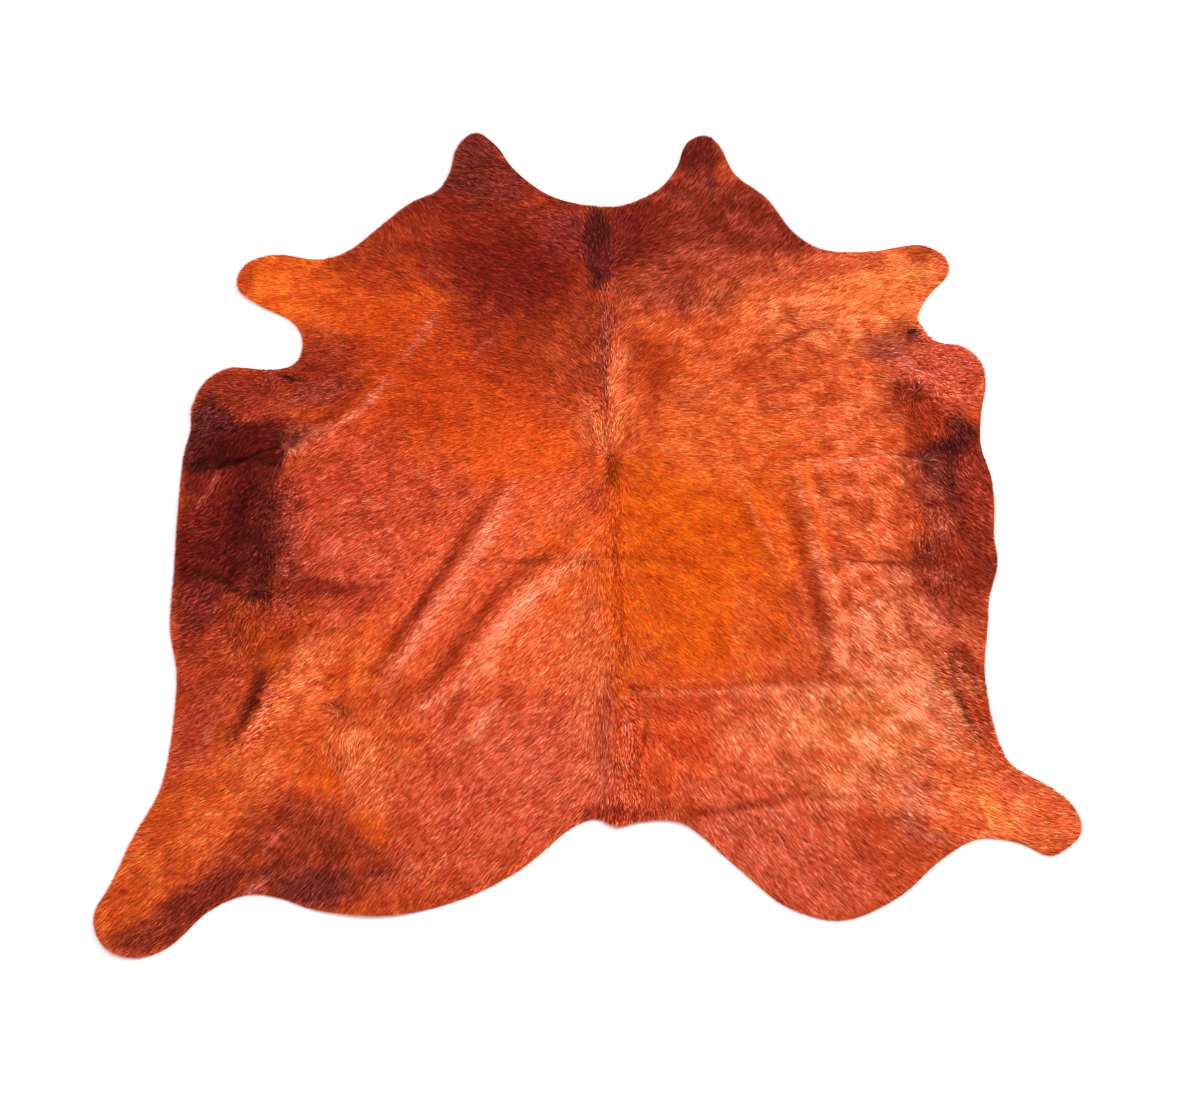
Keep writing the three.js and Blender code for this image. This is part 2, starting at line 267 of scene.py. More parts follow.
# Between these places the heading is blended.
COMBS = [
    Comb("left ear tip", -290, 1710, 143, 60),
    Comb("left ear", -290, 1610, 170, 80),
    Comb("left of the neck, fore", -185, 1580, 170, 100),
    Comb("left of the neck, middle", -140, 1445, 170, 90),
    Comb("left of the neck, hind", -225, 1370, 172, 100),
    Comb("neck stripe, left edge", -40, 1470, 114, 28),
    Comb("neck stripe", -5, 1490, 90, 25),
    Comb("neck stripe, hind", -5, 1380, 90, 28),
    Comb("neck stripe, right edge", 35, 1460, 67, 28),
    Comb("right of the neck, at the cut", 110, 1535, 55, 60),
    Comb("right ear", 250, 1705, 63, 60),
    Comb("right ear, base", 235, 1605, 49, 80),
    Comb("right of the neck, fore", 335, 1520, 51, 80),
    Comb("right of the neck, outer", 395, 1440, 50, 80),
    Comb("right of the neck, middle", 230, 1405, 25, 90),
    Comb("right of the neck, inner", 115, 1350, 10, 70),
    Comb("left neck edge", -425, 1500, 121, 60),
    Comb("left neck edge, hind", -475, 1435, 115, 50),
    Comb("left foreleg root", -540, 1370, 162, 80),
    Comb("left foreleg", -655, 1325, 180, 90),
    Comb("left foreleg tip", -780, 1340, 177, 80),
    Comb("left foreleg, hind edge", -670, 1230, 205, 60),
    Comb("left shoulder, fore", -360, 1330, 150, 90),
    Comb("left shoulder, inner", -180, 1235, 165, 110),
    Comb("left shoulder, middle", -355, 1180, 178, 110),
    Comb("left shoulder, outer", -510, 1180, 192, 90),
    Comb("left shoulder, hind", -345, 935, 199, 120),
    Comb("withers, left", -65, 1180, 145, 80),
    Comb("withers, right", 110, 1180, 35, 80),
    Comb("mane, fore", 15, 1260, 90, 35),
    Comb("mane, middle", 20, 1125, 90, 35),
    Comb("mane, hind", 16, 900, 92, 30),
    Comb("mane, left edge", -25, 890, 118, 35),
    Comb("beside the mane, left", -60, 1010, 150, 50),
    Comb("mane, right edge", 50, 890, 60, 35),
    Comb("beside the mane, right", 85, 1010, 35, 50),
    Comb("right shoulder, fore", 225, 1260, 50, 90),
    Comb("right shoulder, middle", 290, 1150, 24, 110),
    Comb("right shoulder, outer", 440, 1125, 341, 90),
    Comb("right foreleg root", 515, 1275, 24, 80),
    Comb("right foreleg", 610, 1345, 10, 90),
    Comb("right foreleg tip", 750, 1360, 354, 80),
    Comb("right armpit", 645, 1165, 354, 50),
    Comb("right chest, inner", 580, 1015, 338, 80),
    Comb("right chest edge", 810, 1030, 348, 60),
    Comb("right chest, hind edge", 780, 965, 329, 50),
    Comb("right chest, dark hollow", 690, 995, 273, 40),
    Comb("right belly, dark, fore", 750, 885, 282, 60),
    Comb("right side, fore", 430, 910, 348, 120),
    Comb("right side, inner", 215, 885, 350, 110),
    Comb("right back, fore", 210, 685, 332, 120),
    Comb("right back, middle", 185, 495, 321, 120),
    Comb("right side, middle", 395, 640, 331, 120),
    Comb("right side, hind", 405, 450, 313, 120),
    Comb("right belly, inner", 600, 735, 315, 80),
    Comb("right belly column", 685, 660, 267, 45),
    Comb("right belly column, hind", 705, 520, 278, 45),
    Comb("right belly edge", 790, 660, 311, 60),
    Comb("right belly edge, hind", 765, 475, 319, 70),
    Comb("right flank, inner", 585, 405, 315, 90),
    Comb("right loin, inner", 140, 295, 315, 100),
    Comb("right loin, middle", 315, 230, 301, 120),
    Comb("right loin, outer", 510, 205, 307, 110),
    Comb("right flank patch", 725, 295, 331, 60),
    Comb("right hind leg root", 675, 100, 329, 100),
    Comb("right hind leg", 790, 50, 332, 90),
    Comb("right hind leg tip", 875, 0, 347, 80),
    Comb("right thigh", 380, 0, 304, 120),
    Comb("right thigh, outer", 570, -25, 318, 110),
    Comb("back, below the mane", 25, 735, 270, 30),
    Comb("back, middle", 30, 565, 270, 30),
    Comb("back, hind", 40, 380, 270, 30),
    Comb("croup", 45, 185, 270, 32),
    Comb("tail", 45, 40, 270, 40),
    Comb("beside the back, left", -30, 685, 232, 60),
    Comb("beside the back, left, hind", -15, 405, 243, 60),
    Comb("croup, left", 0, 185, 263, 40),
    Comb("beside the back, right", 95, 685, 313, 60),
    Comb("beside the back, right, hind", 100, 450, 298, 60),
    Comb("croup, right", 90, 140, 294, 50),
    Comb("left back, fore", -130, 860, 206, 110),
    Comb("left back, middle", -185, 640, 221, 120),
    Comb("left back, hind", -160, 405, 228, 120),
    Comb("left side, fore", -425, 810, 211, 120),
    Comb("left side, middle", -415, 590, 223, 120),
    Comb("left side, hind", -360, 360, 233, 120),
    Comb("left rump", -135, 140, 225, 120),
    Comb("left thigh", -325, 60, 232, 130),
    Comb("left thigh, outer", -475, -25, 242, 110),
    Comb("left chest", -795, 1030, 180, 60),
    Comb("left chest, hind", -790, 960, 223, 60),
    Comb("left armpit, hind", -630, 995, 205, 70),
    Comb("left side, outer", -570, 910, 221, 80),
    Comb("left belly, fore", -735, 810, 250, 70),
    Comb("left belly, fore edge", -835, 760, 247, 60),
    Comb("left belly edge", -855, 660, 204, 60),
    Comb("left belly, middle", -760, 590, 240, 60),
    Comb("left belly column", -680, 600, 268, 40),
    Comb("left belly, beside the column", -600, 590, 232, 80),
    Comb("left belly column, hind", -705, 415, 265, 45),
    Comb("left belly edge, hind", -805, 405, 209, 70),
    Comb("left flank, inner", -605, 405, 234, 90),
    Comb("left flank", -780, 270, 228, 70),
    Comb("left flank edge", -820, 185, 203, 60),
    Comb("left hip", -590, 250, 212, 80),
    Comb("left hip whorl, below", -500, 165, 266, 45),
    Comb("left hip, inner", -420, 205, 241, 80),
    Comb("left hind leg root", -675, 60, 219, 100),
    Comb("left hind leg, upper edge", -860, 0, 200, 70),
    Comb("left hind leg", -790, -85, 227, 90),
    Comb("left hind leg tip", -880, -200, 231, 90),
    Comb("left hind leg, lower edge", -660, -85, 235, 80),
]

WHORLS = [
    Whorl("back", 15, 853, 24, 0),
    Whorl("right chest", 686, 1011, 34, 10),
    Whorl("right belly", 683, 827, 34, 0),
    Whorl("left chest", -676, 868, 40, 0),
    Whorl("left hip", -519, 245, 20, -20),
    Whorl("left belly", -702, 519, 34, 15),
]

# Later patches lie over earlier ones.
PATCHES = [
    Patch("left side", -475, 590, 350, 250, 66, "#D45A40", 1, 0.9, 0.7),
    # These two left back patches are the dye with the pink sheen of the hair there painted in.
    Patch("left back", -165, 520, 345, 225, 59, "#EA6640", 1, 1.1, 0.2),
    Patch("left back, peach", -60, 495, 235, 120, 73, "#F4784A", 0.9, 1.2, 0.3),
    Patch("left rump", -230, 80, 290, 190, -13, "#DA5E42", 1, 0.9, 0.35),
    Patch("left rump, rosy", -95, 130, 140, 115, 22, "#DE6850", 0.8, 1.2, 0.25),
    Patch("left rump, spot", -355, 115, 50, 25, -16, "#B8401C", 0.9, 1.2, 0.3),
    Patch("left hip", -565, 250, 200, 170, 45, "#E06028", 1, 1.1, 0.6),
    Patch("left hip, fore", -625, 380, 115, 40, 73, "#B2421A", 0.95, 1.2, 0.4),
    Patch("left flank, inner", -670, 295, 85, 45, 84, "#A03818", 0.9, 1.3, 0.4),
    Patch("left flank, beside", -680, 195, 75, 45, 11, "#B0421E", 0.85, 1.2, 0.3),
    Patch("left hip, pale", -600, 315, 95, 40, 66, "#F88050", 0.8, 1.2, 0.4),
    Patch("left hip, inner", -395, 110, 90, 50, -50, "#E2663A", 0.8, 1.3, 0.4),
    Patch("left hip, peach", -465, 120, 105, 50, -61, "#FA8658", 0.85, 1.3, 0.5),
    Patch("left hip, deep", -530, 90, 60, 35, -31, "#DA560E", 0.8, 1, 0.3),
    Patch("left shoulder", -325, 1030, 295, 230, 0, "#C84816", 1, 1, 0.3),
    Patch("left shoulder, fore", -380, 1220, 185, 90, -18, "#B83E16", 0.9, 1.2, 0.4),
    Patch("left back, orange", -205, 850, 170, 90, -6, "#E65C1C", 0.9, 1.2, 0.2),
    Patch("left side, fore", -570, 785, 135, 75, 36, "#D4543A", 0.9, 1.1, 0.5),
    Patch("left side, fore lip", -650, 870, 55, 40, 36, "#F4765A", 1, 0.9, 0.3),
    Patch("left side, hind", -505, 485, 50, 30, 11, "#B43E22", 0.8, 1.2, 0.4),
    Patch("left shoulder, inner", -65, 1165, 145, 175, 0, "#A03410", 0.95, 1, 0.3),
    Patch("left neck", -275, 1440, 360, 225, -19, "#882614", 1, 0.9, 0.3),
    Patch("left neck, dark", -170, 1350, 185, 100, -19, "#78180C", 0.9, 1.1, 0.3),
    Patch("left neck, outer", -455, 1405, 150, 55, 43, "#A03616", 0.8, 1.2, 0.3),
    Patch("left neck, rosy", -125, 1475, 130, 40, -45, "#963428", 0.8, 1.1, 0.2),
    Patch("left ear", -285, 1660, 145, 95, 92, "#7A2A20", 1, 0.7, 0.2),
    Patch("left ear, inner", -215, 1580, 95, 40, -54, "#8A2E24", 0.95, 0.9, 0.2),
    Patch("left foreleg", -655, 1290, 230, 110, -10, "#FC7226", 1, 0.9, 0.4),
    Patch("left foreleg, inner", -505, 1245, 140, 95, -24, "#D85216", 0.9, 1.1, 0.4),
    Patch("left foreleg, neck side", -490, 1340, 85, 55, -12, "#AC3A16", 0.9, 1.2, 0.3),
    Patch("left foreleg, above", -515, 1410, 120, 35, 35, "#A43A18", 0.9, 0.9, 0.2),
    Patch("left foreleg tip", -805, 1320, 25, 55, 0, "#C84A1C", 0.8, 0.9, 0.2),
    Patch("left belly, all", -785, 715, 320, 120, 94, "#701A12", 1, 0.7, 0.3),
    Patch("left armpit", -630, 1075, 100, 90, 0, "#96301A", 0.95, 1, 0.4),
    Patch("left armpit, rosy", -625, 1000, 85, 35, 12, "#A2423A", 0.8, 1, 0.2),
    Patch("left chest", -785, 1010, 120, 70, 0, "#9A3220", 1, 1, 0.3),
    Patch("left chest, rosy", -765, 960, 55, 30, 12, "#AA4030", 0.8, 1.2, 0.2),
    Patch("left chest, dark", -835, 935, 105, 40, -51, "#4A1216", 0.9, 1.2, 0.3),
    Patch("left chest, lilac", -830, 935, 45, 15, -38, "#6A2428", 0.7, 1.2, 0.3),
    Patch("left chest, edge", -870, 890, 90, 40, 91, "#60201E", 1, 0.7, 0.2),
    Patch("left chest, hind", -760, 855, 105, 50, 7, "#480906", 0.95, 1.3, 0.2),
    Patch("left belly", -745, 665, 175, 65, 90, "#4E0A06", 0.95, 1.3, 0.4),
    Patch("left belly, outer", -830, 610, 95, 45, 87, "#641208", 0.8, 1.2, 0.3),
    Patch("left belly, rusty", -825, 740, 70, 45, 69, "#7C2014", 0.8, 1.2, 0.3),
    Patch("left belly, inner", -700, 640, 190, 40, 92, "#661C14", 0.95, 0.9, 0.4),
    Patch("left belly column", -645, 625, 150, 25, 91, "#9A3A30", 0.9, 1.2, 0.9),
    Patch("left belly, inner crease", -590, 520, 115, 20, 0, "#8E2A1C", 0.8, 1.3, 0.4),
    Patch("left belly, knot", -720, 615, 45, 45, 0, "#5A1610", 1, 0.9, 0.4),
    Patch("left belly, rim", -675, 650, 50, 20, 92, "#74261C", 1, 0.9, 0.4),
    Patch("left belly, hind knot", -700, 500, 30, 20, -22, "#3A0806", 0.9, 1, 0.2),
    Patch("left armpit, dark", -730, 840, 55, 65, 12, "#62110A", 0.9, 1.2, 0.3),
    Patch("left belly, hind edge", -810, 455, 90, 60, 96, "#80281C", 1, 1, 0.4),
    Patch("left belly, hind", -725, 420, 90, 45, 90, "#A23C1C", 0.9, 1.2, 0.4),
    Patch("left belly, hind, orange", -670, 380, 75, 35, 86, "#BE4C18", 0.9, 1.2, 0.4),
    Patch("left flank", -770, 285, 100, 70, 92, "#B44426", 1, 0.9, 0.4),
    Patch("left flank, hind", -810, 170, 65, 50, 87, "#C04A34", 0.9, 0.9, 0.3),
    Patch("left hind leg, root", -725, 90, 140, 70, 66, "#D45C2A", 1, 0.9, 0.5),
    Patch("left hind leg, pale", -665, 95, 50, 30, 56, "#EE7840", 0.9, 1, 0.4),
    Patch("left hind leg", -830, -65, 170, 80, 56, "#D45C24", 1, 0.8, 0.4),
    Patch("left hind leg, bright", -745, -5, 70, 30, 53, "#EE7038", 0.8, 1, 0.3),
    Patch("left thigh, brown", -540, -35, 130, 90, 5, "#A03C20", 1, 1, 0.5),
    Patch("left thigh, dark", -555, -120, 115, 40, 4, "#762822", 0.95, 1.1, 0.3),
    Patch("left thigh edge, dark", -630, -95, 50, 25, -10, "#84301F", 0.95, 1, 0.3),
    Patch("left thigh, orange", -435, 5, 50, 30, -40, "#F0681E", 0.7, 1.2, 0.3),
    Patch("left hock, dark", -765, -155, 125, 40, 42, "#822A1C", 0.95, 1.1, 0.3),
    Patch("left hind leg tip, dark", -840, -220, 55, 25, 11, "#86301E", 0.9, 1.1, 0.2),
    Patch("right side, fore", 515, 925, 205, 190, 0, "#F27442", 1, 1, 0.7),
    Patch("right shoulder", 265, 1135, 290, 200, 0, "#DC6232", 1, 1, 0.8),
    Patch("right shoulder, outer", 585, 1190, 150, 65, 12, "#FF8A58", 0.9, 1.2, 0.7),
    Patch("right side", 535, 590, 290, 150, -81, "#EA7046", 1, 1, 0.9),
    Patch("right side, fore lip", 580, 960, 60, 40, 12, "#FC8254", 0.9, 1.2, 0.5),
    Patch("right side, shaded", 615, 555, 45, 25, -67, "#B04A30", 0.8, 1.2, 0.6),
    Patch("right back", 185, 625, 240, 320, 0, "#EA640E", 1, 0.9, 0.35),
    Patch("right back, fore", 270, 885, 160, 90, -10, "#F47438", 0.9, 1.2, 0.5),
    Patch("right side, hind", 585, 405, 125, 105, 0, "#F8906C", 0.9, 1.2, 0.8),
    Patch("right shoulder, inner", 115, 1090, 110, 45, 88, "#B44010", 0.9, 1.2, 0.5),
    Patch("right shoulder, fore", 135, 1295, 150, 65, -13, "#AE4A34", 0.9, 1.2, 0.6),
    Patch("right foreleg root", 440, 1265, 140, 110, 0, "#FA8A58", 0.9, 1.2, 0.8),
    Patch("right neck", 265, 1505, 260, 180, -19, "#8E3222", 1, 0.9, 0.8),
    Patch("right neck, hind", 295, 1360, 180, 40, -6, "#BA5036", 0.9, 1.2, 0.6),
    Patch("throat, right", 90, 1470, 105, 95, 25, "#7A1E12", 0.95, 1.1, 0.3),
    Patch("right ear", 245, 1705, 100, 70, 88, "#6A1C10", 1, 1, 0.2),
    Patch("right ear, inner", 210, 1575, 75, 25, 65, "#9C3E2E", 0.7, 1.2, 0.4),
    Patch("right foreleg", 655, 1305, 175, 95, 10, "#FF8C50", 1, 0.9, 0.5),
    Patch("right foreleg, edge", 550, 1360, 105, 30, 6, "#D4603E", 0.85, 1, 0.3),
    Patch("right foreleg tip", 780, 1340, 20, 40, 0, "#EC7050", 0.8, 1, 0.2),
    Patch("right armpit", 645, 1125, 65, 40, -12, "#B4584A", 0.9, 1, 0.5),
    Patch("right armpit eye", 695, 1155, 20, 15, -25, "#5A1A12", 1, 0.9, 0.2),
    Patch("right belly, all", 760, 735, 260, 85, -91, "#86301F", 1, 0.6, 0.4),
    Patch("right chest", 770, 1060, 105, 90, 0, "#DA6450", 1, 0.9, 0.5),
    Patch("right chest, inner edge", 645, 980, 35, 45, 0, "#A83E26", 0.8, 1.2, 0.4),
    Patch("right chest, bright", 760, 1005, 70, 35, 12, "#E0664C", 0.85, 1.2, 0.3),
    Patch("right chest hollow", 670, 1005, 45, 35, -25, "#84281A", 0.95, 1, 0.3),
    Patch("right chest, brown", 705, 925, 45, 60, -12, "#A4381C", 0.95, 1, 0.3),
    Patch("right belly, fore", 775, 885, 80, 40, 31, "#521614", 0.95, 1.1, 0.4),
    Patch("right belly, dark", 720, 785, 70, 35, -90, "#5C1C16", 0.95, 1, 0.4),
    Patch("right belly edge", 790, 735, 115, 30, -92, "#A43C2E", 0.9, 1.2, 0.3),
    Patch("right belly edge, hind", 780, 515, 45, 15, -91, "#BC4E36", 0.8, 1.2, 0.3),
    Patch("right belly, rosy", 705, 685, 110, 30, -90, "#A64838", 0.85, 1.2, 0.8),
    Patch("right belly, curls", 680, 590, 60, 30, -90, "#7A3028", 0.85, 1.2, 0.9),
    Patch("right belly, orange", 750, 590, 70, 25, -87, "#B2422A", 0.8, 1.2, 0.5),
    Patch("right belly, hind", 730, 545, 85, 55, -87, "#963420", 0.9, 1.2, 0.7),
    Patch("right belly, lobe", 735, 405, 55, 35, -87, "#DC6E54", 0.95, 1, 0.4),
    Patch("right flank, rosy", 680, 435, 95, 40, -82, "#DE7054", 0.8, 1.3, 0.6),
    Patch("right belly, hind tip", 695, 490, 50, 25, -67, "#A2402E", 0.9, 1.1, 0.5),
    Patch("right flank patch", 740, 295, 100, 35, -81, "#A83C1A", 1, 0.32, 0.4),
    Patch("right flank patch, dark", 730, 340, 40, 25, -67, "#7A2414", 0.9, 0.9, 0.3),
    Patch("right loin, inner", 195, 180, 145, 115, 0, "#E2592E", 1, 1, 0.5),
    Patch("right loin, middle", 370, 195, 120, 95, 0, "#EC7A52", 1, 1.1, 0.6),
    Patch("right loin, outer", 540, 210, 165, 120, 0, "#FF9A6C", 1, 1.1, 0.65),
    Patch("right hind leg, upper", 680, 195, 55, 40, -34, "#FC9068", 0.9, 1.2, 0.4),
    Patch("right flank, dark", 735, 235, 50, 20, -73, "#9E3818", 0.9, 1.1, 0.3),
    Patch("right flank, beside", 655, 245, 75, 35, -66, "#FF9C78", 0.9, 1.1, 0.4),
    Patch("right thigh, upper", 445, 140, 65, 25, 0, "#DC6236", 0.8, 1.2, 0.4),
    Patch("right rump", 265, 75, 95, 40, 0, "#F27452", 0.9, 1.2, 0.4),
    Patch("right loin, ridge", 305, 415, 30, 95, 0, "#F06E32", 0.7, 1.3, 0.3),
    Patch("right side, inner", 400, 350, 60, 35, 11, "#EE6E3E", 0.7, 1.3, 0.5),
    Patch("right thigh", 340, -65, 205, 95, -16, "#E0684E", 1, 1, 0.4),
    Patch("right thigh, outer", 630, 30, 80, 60, -22, "#D4705A", 0.95, 1.1, 0.6),
    Patch("right thigh, fore", 540, 60, 70, 30, 0, "#F6865C", 0.9, 1.2, 0.5),
    Patch("right hind leg", 780, 50, 150, 90, -27, "#FC8050", 1, 0.9, 0.5),
    Patch("right hind leg, orange", 765, 30, 70, 20, -45, "#FF8C4A", 0.8, 1.2, 0.3),
    Patch("right hind leg, rosy", 810, 95, 65, 20, -31, "#DC6648", 0.7, 1.2, 0.4),
    Patch("right hind leg tip", 850, -20, 55, 35, 0, "#F47C4E", 0.9, 1.2, 0.3),
    Patch("right flank, hind edge", 765, 175, 45, 20, -67, "#C05438", 0.8, 1, 0.2),
    Patch("mane, fore", -5, 1190, 165, 70, 90, "#A0381A", 0.9, 1.3, 0.3),
    Patch("mane, wedge", 10, 1135, 140, 20, 87, "#8E3A28", 0.75, 1.3, 0.3),
    Patch("mane, right", 40, 1030, 130, 20, 85, "#F0764A", 0.8, 1.3, 0.3),
    Patch("mane fan, right", 45, 925, 70, 25, 69, "#F28048", 0.8, 1.3, 0.3),
    Patch("mane fan", -10, 915, 75, 30, 109, "#F08454", 0.8, 1.3, 0.3),
    Patch("whorl shade", 25, 810, 45, 20, 85, "#8E3404", 0.9, 1.1, 0.2),
    Patch("back line", 35, 565, 270, 10, 91, "#D05410", 0.8, 1.1, 0.2),
    Patch("beside the back, left", -25, 335, 155, 40, 88, "#EE7A50", 0.8, 1.1, 0.3),
    Patch("croup spot", 20, 265, 20, 10, 72, "#A04028", 0.8, 1.2, 0.2),
    Patch("croup line", 55, 130, 115, 10, 90, "#E8684A", 0.8, 1.2, 0.2),
    Patch("croup, brown", 10, 150, 120, 15, 88, "#CC5E44", 0.7, 1.1, 0.2),
    Patch("neck stripe", -5, 1450, 170, 30, 90, "#4A0E06", 0.95, 0.8, 0.2),
    Patch("neck, left of the stripe", -80, 1490, 95, 35, 75, "#8E302A", 0.95, 1, 0.2),
    Patch("neck, at the cut", 45, 1510, 35, 30, 0, "#7A1E14", 0.95, 1, 0.2),
    Patch("neck stripe, hind", 5, 1370, 45, 30, 90, "#330402", 0.85, 1.1, 0.2),
    Patch("neck stripe, right", 25, 1375, 70, 45, 0, "#6A1610", 0.9, 1.1, 0.2),
    Patch("tail", 25, 25, 70, 15, 0, "#A03624", 0.9, 1, 0.2),
]

